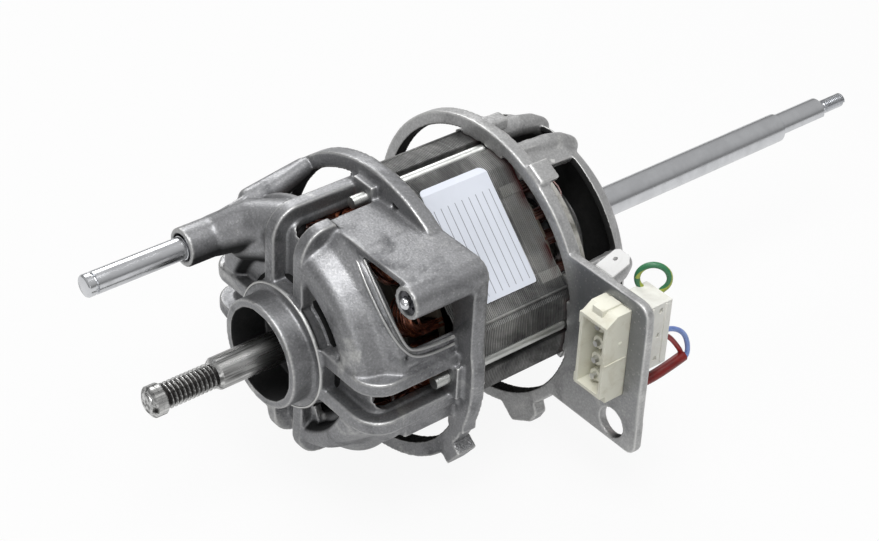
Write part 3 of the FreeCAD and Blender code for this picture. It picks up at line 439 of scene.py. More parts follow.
plasticFinishes = {
    "ivory": {"colour": (0.72, 0.71, 0.61), "shade": (0.62, 0.60, 0.49), "rough": 0.42},
    "white": {"colour": (0.74, 0.735, 0.69), "shade": (0.65, 0.64, 0.59), "rough": 0.45},
    "tab": {"colour": (0.60, 0.60, 0.595), "shade": (0.55, 0.55, 0.54), "rough": 0.40},
    "insulator": {"colour": (0.10, 0.085, 0.065), "shade": (0.05, 0.042, 0.03), "rough": 0.5},
    "strip": {"colour": (0.42, 0.41, 0.38), "shade": (0.13, 0.125, 0.11), "rough": 0.5},
    "cage": {"colour": (0.46, 0.36, 0.20), "shade": (0.34, 0.26, 0.14), "rough": 0.5},
    "red_sleeve": {"colour": (0.20, 0.012, 0.010), "shade": (0.11, 0.006, 0.006), "rough": 0.33},
    "red": {"colour": (0.30, 0.015, 0.012), "shade": (0.18, 0.010, 0.010), "rough": 0.35},
    "blue": {"colour": (0.20, 0.30, 0.62), "shade": (0.12, 0.18, 0.46), "rough": 0.35},
    "phase_wire": {"colour": (0.30, 0.27, 0.035), "shade": (0.16, 0.07, 0.02), "rough": 0.35},
    "magnet": {"colour": (0.045, 0.045, 0.048), "shade": (0.025, 0.025, 0.028), "rough": 0.55},
}


def plasticMaterial(name, s):
    material, tree, surface = newMaterial(name, Specular_IOR_Level=0.45)
    mottle = useGroup(tree, "mottle", Patch=160.0, Grain=2500.0)
    colour = rampNode(tree, mottle["Mask"], [(0.32, s["shade"]), (0.52, s["colour"])])
    feed(tree, surface, Base_Color=colour)
    finishByGrain(tree, surface, mottle, s["rough"] + 0.1, s["rough"] - 0.06, 0.12)
    return material


copperSettings = {"deep": (0.030, 0.006, 0.004), "middle": (0.17, 0.045, 0.022),
                  "bright": (0.42, 0.15, 0.07), "rearFrom": 82.0, "rearFull": 86.0, "rearDark": 0.9}


def copperMaterial(s):
    material, tree, surface = newMaterial("enamelled_copper", Metallic=0.55, Coat_Weight=0.3)
    mottle = useGroup(tree, "mottle", Patch=300.0, Grain=2600.0)
    colour = rampNode(tree, mottle["Mask"],
                      [(0.36, s["deep"]), (0.52, s["middle"]), (0.70, s["bright"])])
    # painted shade: the end turns towards the rear, inside the rear bracket, go nearly to the deep
    # colour
    rear = rangeNode(tree, splitPlace(tree)["Y"], s["rearFrom"] * mm, s["rearFull"] * mm,
                     high=s["rearDark"])
    feed(tree, surface, Base_Color=mixColour(tree, rear, colour, s["deep"]))
    finishByGrain(tree, surface, mottle, 0.5, 0.28, 0.2)
    return material


def slantHeight(tree, place):  # height along the stack's side that carries the label
    return product(tree, mathNode(tree, "SUBTRACT", place["Z"], place["X"]), 0.7071)


# the pale colour and its shares paint a highlight beside the label towards the rear; the lacquer
# colour is the varnish's own stain
stackSettings = {"sheet": 0.646, "dark": (0.060, 0.061, 0.061), "middle": (0.165, 0.165, 0.162),
                 "light": (0.34, 0.34, 0.33), "sheetShare": 0.06, "band": (0.42, 0.42, 0.40),
                 "bandFrom": 76.0, "bandHalf": 12.4, "bandEnd": 15.6, "bandShare": 0.30,
                 "bandEndShare": 0.35, "lacquer": (0.075, 0.010, 0.010), "lacquerFrom": 80.2,
                 "lacquerFull": 83.6}


def stackMaterial(s):
    material, tree, surface = newMaterial("laminated_steel", Metallic=0.7)
    mottle = useGroup(tree, "mottle", Patch=55.0, Grain=1800.0)
    place = splitPlace(tree)
    level = mathNode(tree, "FLOOR", mathNode(tree, "DIVIDE", place["Y"], s["sheet"] * mm))
    single = addNode(tree, "TexWhiteNoise", {"noise_dimensions": "1D"}, W=level)
    shade = mathNode(tree, "ADD", product(tree, mottle["Mask"], 1 - s["sheetShare"]),
                     product(tree, single.outputs["Value"], s["sheetShare"]))
    colour = rampNode(tree, shade, [(0.34, s["dark"]), (0.50, s["middle"]), (0.66, s["light"])])

    # painted highlight: pale bands beside the label towards the rear; and lacquer that ran down
    # from the coils
    across = mathNode(tree, "ABSOLUTE", slantHeight(tree, place))
    right = mathNode(tree, "GREATER_THAN", place["Y"], s["bandFrom"] * mm)
    ends = mathNode(tree, "GREATER_THAN", across, s["bandHalf"] * mm)
    within = mathNode(tree, "LESS_THAN", across, s["bandEnd"] * mm)
    paintedHighlight = mathNode(tree, "ADD", product(tree, ends, s["bandEndShare"]), s["bandShare"])
    colour = mixColour(tree, product(tree, right, within, paintedHighlight), colour, s["band"])
    rear = rangeNode(tree, place["Y"], s["lacquerFrom"] * mm, s["lacquerFull"] * mm)
    drip = rampNode(tree, mottle["Mask"], [(0.46, 0.0), (0.56, 1.0)])
    colour = mixColour(tree, product(tree, rear, drip), colour, s["lacquer"])
    feed(tree, surface, Base_Color=colour)
    finishByGrain(tree, surface, mottle, 0.55, 0.38, 0.2)
    return material


labelSettings = {"film": (0.66, 0.69, 0.76), "faded": 0.95, "line": (0.12, 0.12, 0.14),
                 "start": 51.6, "step": 2.6, "thick": 0.10, "low": -12.5, "high": 16.5,
                 "ink": 0.75}


def labelMaterial(s):
    material, tree, surface = newMaterial("label_film", Roughness=0.38)
    mottle = useGroup(tree, "mottle", Patch=60.0, Grain=900.0)
    faded = tuple(s["faded"] * c for c in s["film"])
    film = rampNode(tree, mottle["Mask"], [(0.35, faded), (0.6, s["film"])])
    place = splitPlace(tree)
    along = mathNode(tree, "SUBTRACT", place["Y"], s["start"] * mm)
    row = mathNode(tree, "FRACT", mathNode(tree, "DIVIDE", along, s["step"] * mm))
    across = slantHeight(tree, place)
    lines = product(tree, mathNode(tree, "LESS_THAN", row, s["thick"]),
                    mathNode(tree, "GREATER_THAN", across, s["low"] * mm),
                    mathNode(tree, "LESS_THAN", across, s["high"] * mm), s["ink"])
    feed(tree, surface, Base_Color=mixColour(tree, lines, film, s["line"]))
    return material


earthSettings = {"green": (0.035, 0.17, 0.075), "yellow": (0.36, 0.42, 0.07), "rough": 0.36}


def earthMaterial(s):
    material, tree, surface = newMaterial("green_yellow_wire", Roughness=s["rough"])
    stripe = addNode(tree, "Attribute", {"attribute_name": "around"}).outputs["Fac"]
    colour = rampNode(tree, stripe, [(0.60, s["green"]), (0.72, s["yellow"])])
    feed(tree, surface, Base_Color=colour)
    return material


finishes = {
    "cast_front": castMaterial("die_cast_front", castFinishes["front"], castWearAndPaintedLight),
    "cast_rear": castMaterial("die_cast_rear", castFinishes["rear"], castWearAndPaintedLight),
    "copper": copperMaterial(copperSettings),
    "stack": stackMaterial(stackSettings),
    "label": labelMaterial(labelSettings),
    "earth": earthMaterial(earthSettings),
}
for name, s in steelFinishes.items():
    finishes[name] = steelMaterial(name, s)
for name, s in plasticFinishes.items():
    finishes[name] = plasticMaterial(name + "_plastic", s)
slotFinish = {
    "cast_alloy": "cast_front", "laminated_steel": "stack", "insulator_nylon": "insulator",
    "enamelled_copper": "copper", "zinc_steel": "zinc_screw", "ground_steel": "polished_shaft",
    "bearing_steel": "bearing", "spring_steel": "spring", "magnet": "magnet", "cage_nylon": "cage",
    "label_film": "label", "ivory_nylon": "ivory", "white_nylon": "white",
    "tinned_brass": "tinned", "earth_wire": "earth", "blue_wire": "blue", "red_wire": "red",
    "phase_wire": "phase_wire", "red_sleeve": "red_sleeve",
}
for name, node in frame["nodes"].items():
    node.data.materials.clear()
    node.data.materials.append(finishes[slotFinish[nodeSlot[name]]])
print("finishes ready:", len(finishes))


# building blocks that several pieces use

def around(turn, out, y):  # a point at a direction about the shaft: 0 is +X, 90 is +Z
    angle = math.radians(turn)
    return Vector((out * math.cos(angle), y, out * math.sin(angle)))


def takeActive(name):
    piece = bpy.context.active_object
    piece.name = piece.data.name = name
    placeInMesh(piece)
    return piece


def addRod(name, start, end, radius, tip=None, sides=32):
    clearSelection()
    start, end = Vector(start), Vector(end)
    along = (end - start) * mm
    bpy.ops.mesh.primitive_cone_add(
        vertices=sides, radius1=radius * mm, radius2=(radius if tip is None else tip) * mm,
        depth=along.length, location=(start + end) * mm / 2,
        rotation=along.to_track_quat("Z", "Y").to_euler())
    return takeActive(name)


def addBall(name, centre, radius):
    clearSelection()
    bpy.ops.mesh.primitive_uv_sphere_add(segments=24, ring_count=16, radius=radius * mm,
                                         location=centre * mm)
    return takeActive(name)


def addBlock(name, low, high, bevel=0.0):
    clearSelection()
    low, high = Vector(low), Vector(high)
    bpy.ops.mesh.primitive_cube_add(size=1, location=(low + high) * mm / 2, scale=(high - low) * mm)
    piece = takeActive(name)
    if bevel:
        modify(piece, "BEVEL", width=bevel * mm, segments=3)
    return piece


def addCapsule(name, start, end, radius, tip):
    return joinPieces(name, [addRod(name, start, end, radius, tip),
                             addBall("end_ball", start, radius), addBall("end_ball", end, tip)])


def drawChain(name, points, closed=False):  # (radius, y) points as edges in the XY plane
    clearSelection()
    bpy.ops.mesh.primitive_plane_add(size=mm, location=(0, 0, 0))
    piece = takeActive(name)
    startEdit(piece)
    bpy.ops.mesh.merge(type="CENTER")
    bpy.ops.transform.translate(value=(points[0][0] * mm, points[0][1] * mm, 0))
    for (r0, y0), (r1, y1) in zip(points, points[1:]):
        bpy.ops.mesh.extrude_region_move(
            TRANSFORM_OT_translate={"value": ((r1 - r0) * mm, (y1 - y0) * mm, 0)})
    if closed:
        bpy.ops.mesh.select_all(action="SELECT")
        bpy.ops.mesh.edge_face_add()
        bpy.ops.mesh.delete(type="ONLY_FACE")
    endEdit()
    return piece


def closeSeam(piece):
    mergeDoubles(piece, fineGap)
    editAll(piece, bpy.ops.mesh.normals_make_consistent, inside=False)


def turnPiece(name, points, steps=64):
    piece = drawChain(name, points)
    editAll(piece, bpy.ops.mesh.spin, steps=steps, angle=2 * math.pi, center=(0, 0, 0),
            axis=(0, 1, 0))
    closeSeam(piece)
    return piece


threadFlanks = {"rise": 0.22, "fall": 0.38, "foot": 0.60}  # as shares of the pitch


def addThread(name, core, crest, start, pitch, turns, steps=36):
    rise, fall, foot = (start + threadFlanks[k] * pitch for k in ("rise", "fall", "foot"))
    ridge = drawChain(name, [(core, start), (crest, rise), (crest, fall), (core, foot)],
                      closed=True)
    modify(ridge, "SCREW", axis="Y", angle=2 * math.pi, screw_offset=pitch * mm,
           iterations=turns, steps=steps, render_steps=steps, use_merge_vertices=True)
    editAll(ridge, bpy.ops.mesh.fill_holes, sides=0)
    closeSeam(ridge)
    return ridge


def addWire(name, points, radius):
    clearSelection()
    bpy.ops.curve.primitive_nurbs_path_add(location=(0, 0, 0))
    wire = bpy.context.active_object
    wire.name = name
    curve = wire.data
    curve.splines.clear()
    spline = curve.splines.new("NURBS")
    spline.points.add(len(points) - 1)
    for point, place in zip(spline.points, points):
        point.co = (*(Vector(place) * mm), 1)
    spline.order_u, spline.use_endpoint_u, spline.resolution_u = 4, True, 10
    curve.bevel_depth, curve.bevel_resolution, curve.use_fill_caps = radius * mm, 4, True
    bpy.ops.object.convert(target="MESH")
    wire = takeActive(name)
    mergeDoubles(wire, fineGap)
    smoothByAngle(wire, 40)
    return wire


def movePiece(piece, offset):
    piece.location = Vector(offset) * mm
    placeInMesh(piece)
    return piece


def useBoolean(piece, tool, operation):
    modify(piece, "BOOLEAN", operation=operation, object=tool, solver="EXACT")
    bpy.data.objects.remove(tool)


def turnAbout(piece, turn):
    piece.rotation_euler = (0, -math.radians(turn), 0)
    placeInMesh(piece)


def cutAway(piece, place, facing, **side):
    editAll(piece, bpy.ops.mesh.bisect, plane_co=place, plane_no=facing, use_fill=True, **side)


def repeatAround(name, piece, turns):  # copies about the shaft, each with its own mesh
    copies = []
    for turn in turns:
        copy = bpy.data.objects.new(name, piece.data.copy())
        bpy.context.scene.collection.objects.link(copy)
        turnAbout(copy, turn)
        copies.append(copy)
    bpy.data.objects.remove(piece)
    return joinPieces(name, copies)


# die-cast brackets: the CAD form, rounded corners and blends of a casting

castings = {
    "front_bracket": {
        "name": "front_bracket_casting", "finish": "cast_front", "voxel": 0.5, "smooth": 6,
        "faces": 190000,
        # (turn, out, y, radius) of both ends of each blend
        "blends": (
            ((135, 37.2, 3.0, 6.3), (124, 36.6, 12.5, 7.2)),
            ((124, 36.6, 12.5, 7.2), (108.5, 35.6, 17.0, 6.6)),
            ((135, 33.0, 12.0, 6.5), (118, 30.0, 15.5, 6.5)),
            ((135, 37.3, 10.0, 6.2), (137, 40.5, 26.0, 4.2)),
            ((135, 41.0, 18.0, 4.5), (133, 46.0, 38.5, 3.2)),
            ((135, 43.8, 18.0, 3.1), (134, 46.3, 38.5, 3.0)),
            ((24, 41.2, 21.5, 1.5), (19.2, 41.2, 25.5, 1.5)),
            ((18.6, 41.2, 25.0, 1.5), (18.2, 41.2, 40.5, 1.5)),
            ((15.6, 40.8, 22.5, 1.9), (15.2, 40.8, 40.5, 1.9)),
            ((12.2, 40.4, 21.5, 2.0), (12.2, 40.4, 40.5, 2.0)),
            ((-80, 27.0, 18.5, 3.5), (-58, 27.0, 18.0, 3.5)),
            ((-58, 27.0, 18.0, 3.5), (-36, 27.0, 18.0, 3.5)),
            ((-36, 27.0, 18.0, 3.5), (-14, 27.0, 18.5, 3.5)),
        ),
        "fills": (((4.5, 20.7, 35.0), (21.0, 41.0, 41.2)),
                  ((4.5, 37.0, 35.0), (33.0, 42.0, 41.1)),
                  ((38.8, 40.0, -19.0), (46.0, 45.0, 20.0)),
                  ((37.8, 22.0, -14.8), (41.3, 41.0, -8.0))),
        "cuts": (((3.3, 20.9, 41.25), (16.0, 40.0, 48.0)),),
        "drawnIn": {"from": 33.0, "full": 22.0, "out": 27.0, "fullOut": 35.0, "share": 0.085,
                    "turns": (148, 168, 326, 343)},
        "slots": {"turns": quarterTurns, "low": (24.0, 14.2, -4.1), "high": (46.0, 28.0, 4.1),
                  "bevel": 3.8},
        # rims laid on the casting: (turn, out, y) of each point along them, and their radius
        "rims": (
            (0.55, ((60.3, 42.6, 21.5), (50.9, 42.6, 20.5), (42.0, 42.6, 20.5), (34.7, 42.6, 20.9),
                    (27.7, 42.6, 21.9), (23.9, 42.6, 22.8), (21.0, 42.6, 24.2), (19.9, 42.6, 27.6),
                    (19.1, 42.6, 32.6), (18.9, 42.6, 39.5))),
            (0.45, ((61.9, 41.5, 20.0), (54.0, 41.5, 18.7), (46.3, 41.5, 18.4), (38.0, 41.9, 18.5),
                    (31.0, 42.3, 19.3), (25.5, 42.6, 20.6), (21.3, 42.8, 22.4), (17.6, 43.0, 25.0),
                    (16.2, 43.0, 30.7), (16.2, 42.8, 39.0))),
        ),
        "rings": ((19.6, 7.7, 0.42),),
    },
    "rear_bracket": {
        "name": "rear_bracket_casting", "finish": "cast_rear", "voxel": 0.52, "smooth": 3,
        "faces": 180000,
        "lobes": {"side": 6.7, "radius": 3.3, "turns": quarterTurns,
                  "spine": ((39.0, 86.5), (38.6, 101.5), (37.3, 107.0), (35.0, 110.9))},
        "drawnIn": {"from": 90.5, "full": 95.5, "out": 28.0, "fullOut": 35.0, "share": 0.045,
                    "turns": (-2, -1, 361, 362)},
        "envelope": ((0, 60), (120, 60), (120, 96.5), (42.6, 97.5), (41.4, 101.5), (40.0, 106.0),
                     (37.2, 110.4), (34.3, 112.8), (31.2, 114.5), (31.2, 150), (0, 150)),
        "cuts": (((-9.0, 84.0, 48.3), (5.0, 95.0, 54.0)),),
    },
}


def lobePieces(s):
    lobes = []
    for turn in s["turns"]:
        angle = math.radians(turn)
        across = Vector((-math.sin(angle), 0, math.cos(angle)))
        for side in (-s["side"], s["side"]):
            spine = [around(turn, out, y) + across * side for out, y in s["spine"]]
            lobes += [addCapsule("lobe", a, b, s["radius"], s["radius"])
                      for a, b in zip(spine, spine[1:])]
    return lobes


def blendPieces(blends):
    return [addCapsule("blend", around(*start[:3]), around(*end[:3]), start[3], end[3])
            for start, end in blends]


def cutSlots(piece, s):  # opens each channel's floor window towards the front
    for turn in s["turns"]:
        tool = addBlock("slot", s["low"], s["high"], s["bevel"])
        turnAbout(tool, turn)
        useBoolean(piece, tool, "DIFFERENCE")


def rimPieces(s):
    rims = [addWire("rim", [around(*point) for point in points], radius)
            for radius, points in s.get("rims", ())]
    for out, y, radius in s.get("rings", ()):
        clearSelection()
        bpy.ops.mesh.primitive_torus_add(major_segments=72, minor_segments=8, major_radius=out * mm,
                                         minor_radius=radius * mm, location=(0, y * mm, 0),
                                         rotation=(math.pi / 2, 0, 0))
        rims.append(takeActive("ring"))
    return rims


def drawIn(piece, s):  # brings a wall closer to the shaft, at its own thickness
    start, full, end, none = s["turns"]
    for vertex in piece.data.vertices:
        out = math.hypot(vertex.co.x, vertex.co.z) / mm
        turn = math.degrees(math.atan2(vertex.co.z, vertex.co.x)) % 360
        shares = ((vertex.co.y / mm - s["from"]) / (s["full"] - s["from"]),
                  (out - s["out"]) / (s["fullOut"] - s["out"]),
                  (turn - start) / (full - start), (none - turn) / (none - end))
        share = s["share"]
        for part in shares:
            share *= min(1.0, max(0.0, part))
        vertex.co.x *= 1 - share
        vertex.co.z *= 1 - share


def makeCasting(node, s):
    piece = copyNode(node, s["name"])
    if "drawnIn" in s:
        drawIn(piece, s["drawnIn"])
    if "slots" in s:
        cutSlots(piece, s["slots"])
    for low, high in s.get("cuts", ()):
        useBoolean(piece, addBlock("cut", low, high), "DIFFERENCE")
    if "envelope" in s:
        useBoolean(piece, turnPiece("envelope", s["envelope"], 96), "INTERSECT")
    extras = blendPieces(s.get("blends", ()))
    extras += [addBlock("fill", *box) for box in s.get("fills", ())]
    if "lobes" in s:
        extras += lobePieces(s["lobes"])
    if extras:
        piece = joinPieces(s["name"], [piece] + extras)
    modify(piece, "REMESH", mode="VOXEL", voxel_size=s["voxel"] * mm, adaptivity=0)
    modify(piece, "SMOOTH", factor=0.5, iterations=s["smooth"])
    count = sum(len(face.vertices) - 2 for face in piece.data.polygons)
    if count > s["faces"]:
        modify(piece, "DECIMATE", ratio=s["faces"] / count)
    piece = joinPieces(s["name"], [piece] + rimPieces(s))
    print(s["name"], count, "to", len(piece.data.polygons), "faces")
    standFor(piece, node, s["finish"], smooth=60)


for node, s in castings.items():
    makeCasting(node, s)


# rotor shaft: threaded front end with its cap, long ground rear end with a flat and a stud

shaftShape = {
    "front": [(0, -38.5), (3.0, -38.5), (3.25, -38.35), (3.3, -38.1), (3.7, -38.05),
              (4.5, -37.6), (4.8, -37.2), (4.8, -36.0), (4.66, -35.9), (4.66, -35.75),
              (4.8, -35.65), (4.8, -34.2), (4.5, -33.8), (3.2, -33.7), (3.2, -16.5),
              (4.2, -16.4), (5.0, -15.3), (5.0, 13.0), (6.0, 13.0), (6.0, 60.0), (0, 60.0)],
    "thread": {"core": 3.3, "crest": 4.0, "start": -33.9, "pitch": 1.45, "turns": 12},
    "root": {"radius": 3.42, "front": -33.75, "back": -16.45},
    "notch": ((2.9, -39.5, -1.1), (6.0, -37.3, 0.9)),
    "rear": [(0, 59.8), (6.0, 59.8), (6.0, 112.4), (5.0, 112.5), (5.0, 216.7), (4.3, 217.5),
             (0, 217.5)],
    "end": [(0, 217.3), (4.3, 217.3), (4.3, 237.4), (3.8, 238.0), (2.1, 238.0), (2.1, 240.2),
            (2.0, 240.4), (2.0, 249.9), (1.7, 250.2), (0, 250.2)],
    "stud": {"core": 1.95, "crest": 2.4, "start": 240.2, "pitch": 0.8, "turns": 12},
    "flatTurn": -51, "flatDeep": 3.0,
}


def makeShaft(s):
    front = turnPiece("shaft_front_end", s["front"])
    useBoolean(front, addBlock("notch", *s["notch"]), "DIFFERENCE")
    front = joinPieces("shaft_front_end", [front, addThread("thread", **s["thread"])])
    standFor(front, "rotor_shaft", "streaked_shaft", smooth=30)
    # a near-black rod at the thread's root: painted shade in the valleys between its ridges
    root = addRod("thread_root", (0, s["root"]["front"], 0), (0, s["root"]["back"], 0),
                  s["root"]["radius"], sides=48)
    smoothByAngle(root)
    finishPiece(root, "thread_root", "rotor", "ground_steel")
    end = turnPiece("shaft_flat_end", s["end"])
    toward = around(s["flatTurn"], 1, 0)
    cutAway(end, toward * s["flatDeep"] * mm, toward, clear_outer=True)
    rear = joinPieces("shaft_rear_end", [turnPiece("shaft_rear_end", s["rear"]), end,
                                         addThread("stud_thread", steps=24, **s["stud"])])
    smoothByAngle(rear, 30)
    finishPiece(rear, "polished_shaft", "rotor", "ground_steel")


makeShaft(shaftShape)


# idler pin, boss pin and its toothed push nut

pinShape = {
    "idler": [(0, -41.4), (2.9, -41.4), (3.2, -41.25), (3.5, -40.8), (3.5, -39.1), (2.85, -39.0),
              (2.85, -38.2), (3.5, -38.1), (3.5, -8.8), (3.7, -8.7), (3.7, 19.0), (0, 19.0)],
    "turn": 135, "out": 37.3,
    "boss": [(0, 17.2), (0.7, 17.3), (1.35, 17.75), (1.7, 18.4), (1.8, 19.0), (1.8, 31.0),
             (0, 31.0)],
    "bossPlace": (43.0, 0, 36.0),
    "nut": [(2.2, 20.5), (3.5, 20.1), (3.6, 20.4), (3.6, 21.3), (2.2, 21.0), (2.2, 20.5)],
    "tooth": ((1.75, 20.1, -0.42), (2.5, 20.6, 0.42)), "toothBevel": 0.1, "teeth": 6,
}


def makePins(s):
    idler = movePiece(turnPiece("idler_pin_ground", s["idler"]), around(s["turn"], s["out"], 0))
    standFor(idler, "idler_pin", "polished_shaft", smooth=30)
    boss = movePiece(turnPiece("boss_pin_domed", s["boss"], 32), s["bossPlace"])
    standFor(boss, "boss_pin", "polished_shaft", smooth=35)
    teeth = repeatAround("teeth", addBlock("tooth", *s["tooth"], s["toothBevel"]),
                         [360 * k / s["teeth"] for k in range(s["teeth"])])
    nut = joinPieces("push_nut_toothed", [turnPiece("push_nut_toothed", s["nut"], 36), teeth])
    standFor(movePiece(nut, s["bossPlace"]), "push_nut", "spring", smooth=35)


makePins(pinShape)
print("shaft and pins ready")


# stator stack: one sheet, repeated, over a slightly smaller core, with its weld seams

stackShape = {"front": 42.0, "length": 42.0, "thick": 0.40, "pitch": 0.646, "sheets": 65,
              "inset": 0.990, "seamTurns": (17.5, 107.5, 197.5, 287.5), "seamOut": 41.75,
              "seamRadius": 0.5, "seamPast": -0.2, "groove": 3.1, "grooveOut": 41.2,
              "groovePast": 1.0, "turns": quarterTurns}


def scaleMesh(piece, factors, centre):
    editAll(piece, bpy.ops.transform.resize, value=factors, center_override=centre)


def alongStack(s, turn, out, past, radius, sides):  # a rod, longer than the stack by past
    front, back = s["front"] - past, s["front"] + s["length"] + past
    return addRod("rod", around(turn, out, front), around(turn, out, back), radius, sides=sides)


def openGrooves(piece, s):
    for turn in s["turns"]:
        tool = alongStack(s, turn, s["grooveOut"], s["groovePast"], s["groove"], 20)
        useBoolean(piece, tool, "DIFFERENCE")


def makeStack(s):
    front = (0, s["front"] * mm, 0)
    sheet = copyNode("stator_core", "stator_sheets")
    openGrooves(sheet, s)
    core = copyNode("stator_core", "stator_heart")
    openGrooves(core, s)
    scaleMesh(sheet, (1, s["thick"] / s["length"], 1), front)
    modify(sheet, "ARRAY", use_relative_offset=False, use_constant_offset=True,
           constant_offset_displace=(0, s["pitch"] * mm, 0), count=s["sheets"])
    scaleMesh(core, (s["inset"], 1, s["inset"]), front)
    seams = [alongStack(s, turn, s["seamOut"], s["seamPast"], s["seamRadius"], 8)
             for turn in s["seamTurns"]]
    stack = joinPieces("stator_sheets", [sheet, core] + seams)
    standFor(stack, "stator_core", "stack", smooth=20)
    print("stack:", len(stack.data.polygons), "faces")


makeStack(stackShape)


# rating label: bare film with rounded corners

labelShape = {"low": (20.0, 50.0, -15.0), "high": (50.0, 74.5, 23.6), "corner": 2.2, "turn": 45}


def makeLabel(s):
    label = copyNode("rating_label", "rating_label_film")
    stamp = addBlock("stamp", s["low"], s["high"])
    editAll(stamp, bpy.ops.mesh.select_all, action="DESELECT")
    for edge in stamp.data.edges:
        a, b = (stamp.data.vertices[k].co for k in edge.vertices)
        edge.select = max(abs(a.y - b.y), abs(a.z - b.z)) < fineGap
    bpy.ops.object.mode_set(mode="EDIT")
    bpy.ops.mesh.bevel(offset=s["corner"] * mm, segments=6)
    endEdit()
    turnAbout(stamp, s["turn"])
    useBoolean(label, stamp, "INTERSECT")
    standFor(label, "rating_label", "label", smooth=25)


makeLabel(labelShape)


# windings: strands round each tooth, over a plain core, with full end turns

windingShape = {
    "middle": 63.0, "half": 27.0, "wire": 0.34, "segments": 20, "sides": 5,
    "layers": 9, "layerFrom": 28.4, "layerTo": 34.4, "wide": 6.1, "narrow": 3.7, "rows": 5,
    "bulge": {"winding_u": 0.6, "winding_v": 3.4, "winding_w": 3.0}, "seed": 7,
    "innerBulge": 0.35, "rearBulge": 0.25, "bulgeFrom": 0.15,
    "loose": {"out": (-0.25, 0.25), "wide": (-0.3, 0.25), "half": (-0.5, 1.6),
              "bulge": (-0.4, 0.5), "tilt": (-0.05, 0.05)},  # drawn in this order
}


def addLoop(s, out, wide, half, bulge, tilt):
    clearSelection()
    bpy.ops.mesh.primitive_torus_add(
        major_segments=s["segments"], minor_segments=s["sides"], major_radius=wide * mm,
        minor_radius=s["wire"] * mm, location=(out * mm, s["middle"] * mm, 0),
        rotation=(tilt, math.pi / 2, 0))
    loop = takeActive("loop")
    middle = s["middle"] * mm
    for vertex in loop.data.vertices:  # stretched along the tooth, with its ends drawn outwards
        side = 1 if vertex.co.y > middle else -1
        end = abs(vertex.co.y - middle) / (wide * mm)
        vertex.co.y += side * half * mm
        full = bulge if side < 0 else s["rearBulge"] * bulge
        vertex.co.x += full * mm * max(0.0, end - s["bulgeFrom"])
    return loop


def makeWinding(node, phase, s, chance):
    loops = []
    for layer in range(s["layers"]):
        level = layer / (s["layers"] - 1)
        out = s["layerFrom"] + (s["layerTo"] - s["layerFrom"]) * level
        bulge = s["bulge"][node] * (s["innerBulge"] + (1 - s["innerBulge"]) * level)
        rows = s["rows"] if layer == s["layers"] - 1 else 1
        for row in range(rows):
            wide = s["wide"] - (s["wide"] - s["narrow"]) * row / max(1, rows - 1)
            loose = {name: chance.uniform(*limits) for name, limits in s["loose"].items()}
            loops.append(addLoop(s, out + loose["out"], wide + loose["wide"],
                                 s["half"] + loose["half"], bulge + loose["bulge"], loose["tilt"]))
    coil = joinPieces("coil", loops)
    strands = repeatAround("strands", coil, [90 * k + 30 * phase for k in range(4)])
    winding = joinPieces(node + "_strands", [copyNode(node, "coil_core"), strands])
    standFor(winding, node, "copper", smooth=60)


chance = random.Random(windingShape["seed"])
for phase, node in enumerate(("winding_u", "winding_v", "winding_w")):
    makeWinding(node, phase, windingShape, chance)
print("windings ready")


# pieces that keep the CAD form, with their edges broken

rivetShape = {"bevel": 0.15}
stripShape = {"from": 92.1, "bevel": 0.35}  # kept where it stands clear of the coils
screwShape = {"out": 40.3, "bevel": 0.1, "turns": quarterTurns,
              "thread": {"core": 1.72, "crest": 2.0, "start": 32.7, "pitch": 0.7, "turns": 6}}


def breakEdges(piece, width, flat=1, sharp=30, smooth=20):
    editAll(piece, bpy.ops.mesh.dissolve_limited, angle_limit=math.radians(flat))
    modify(piece, "BEVEL", width=width * mm, segments=2, limit_method="ANGLE",
           angle_limit=math.radians(sharp))
    smoothByAngle(piece, smooth)


def makeRivet(s):
    rivet = copyNode("tab_rivet", "tab_rivet_head")
    breakEdges(rivet, s["bevel"])
    standFor(rivet, "tab_rivet", "zinc_screw")


def makeStrip(s):
    strip = copyNode("terminal_strip", "terminal_strip_bent")
    cutAway(strip, (0, s["from"] * mm, 0), (0, 1, 0), clear_inner=True)
    breakEdges(strip, s["bevel"])
    standFor(strip, "terminal_strip", "strip")


def makeScrews(s):
    rods = copyNode("tie_screws", "tie_screws_long")
    breakEdges(rods, s["bevel"])
    tip = movePiece(addThread("tip_thread", steps=20, **s["thread"]), (s["out"], 0, 0))
    screws = joinPieces("tie_screws_long", [rods, repeatAround("tips", tip, s["turns"])])
    standFor(screws, "tie_screws", "zinc_screw")


makeRivet(rivetShape)
makeStrip(stripShape)
makeScrews(screwShape)
print("rivet, strip and screws ready")


# socket through the plate and plug behind it

socketShape = {
    "ribs": (((56.7, 72.5, 14.6), (58.0, 81.4, 18.6)), ((56.7, 72.5, -6.8), (58.0, 81.4, -3.6)),
             ((60.2, 74.0, 19.2), (64.6, 81.4, 22.2)), ((68.0, 72.8, 4.7), (68.65, 81.4, 5.3)),
             ((68.0, 77.8, 10.4), (68.6, 79.2, 11.6))),
    "heights": (14.9, 8.9, 2.9, -3.1), "across": 62.2, "bossRadius": 2.1, "bossFront": 76.0,
    "bossBack": 82.6, "tipFront": 74.6, "tipRadius": 1.15, "tipPoint": 0.95,
    "bevel": 0.22, "ribBevel": 0.25,
}
tabShape = {
    "upright": ((49.4, 84.5, 17.5), (56.9, 85.3, 25.3)),
    "leaf": ((49.4, 84.6, 24.8), (56.9, 93.5, 25.5)),
    "bevel": 0.2, "hole": (52.3, 89.9, 0.75), "corners": ((56.9, 93.5, 2.3), (49.4, 93.5, 1.3)),
    "hinge": (0, 84.6, 25.5), "tilt": 19.0,
}
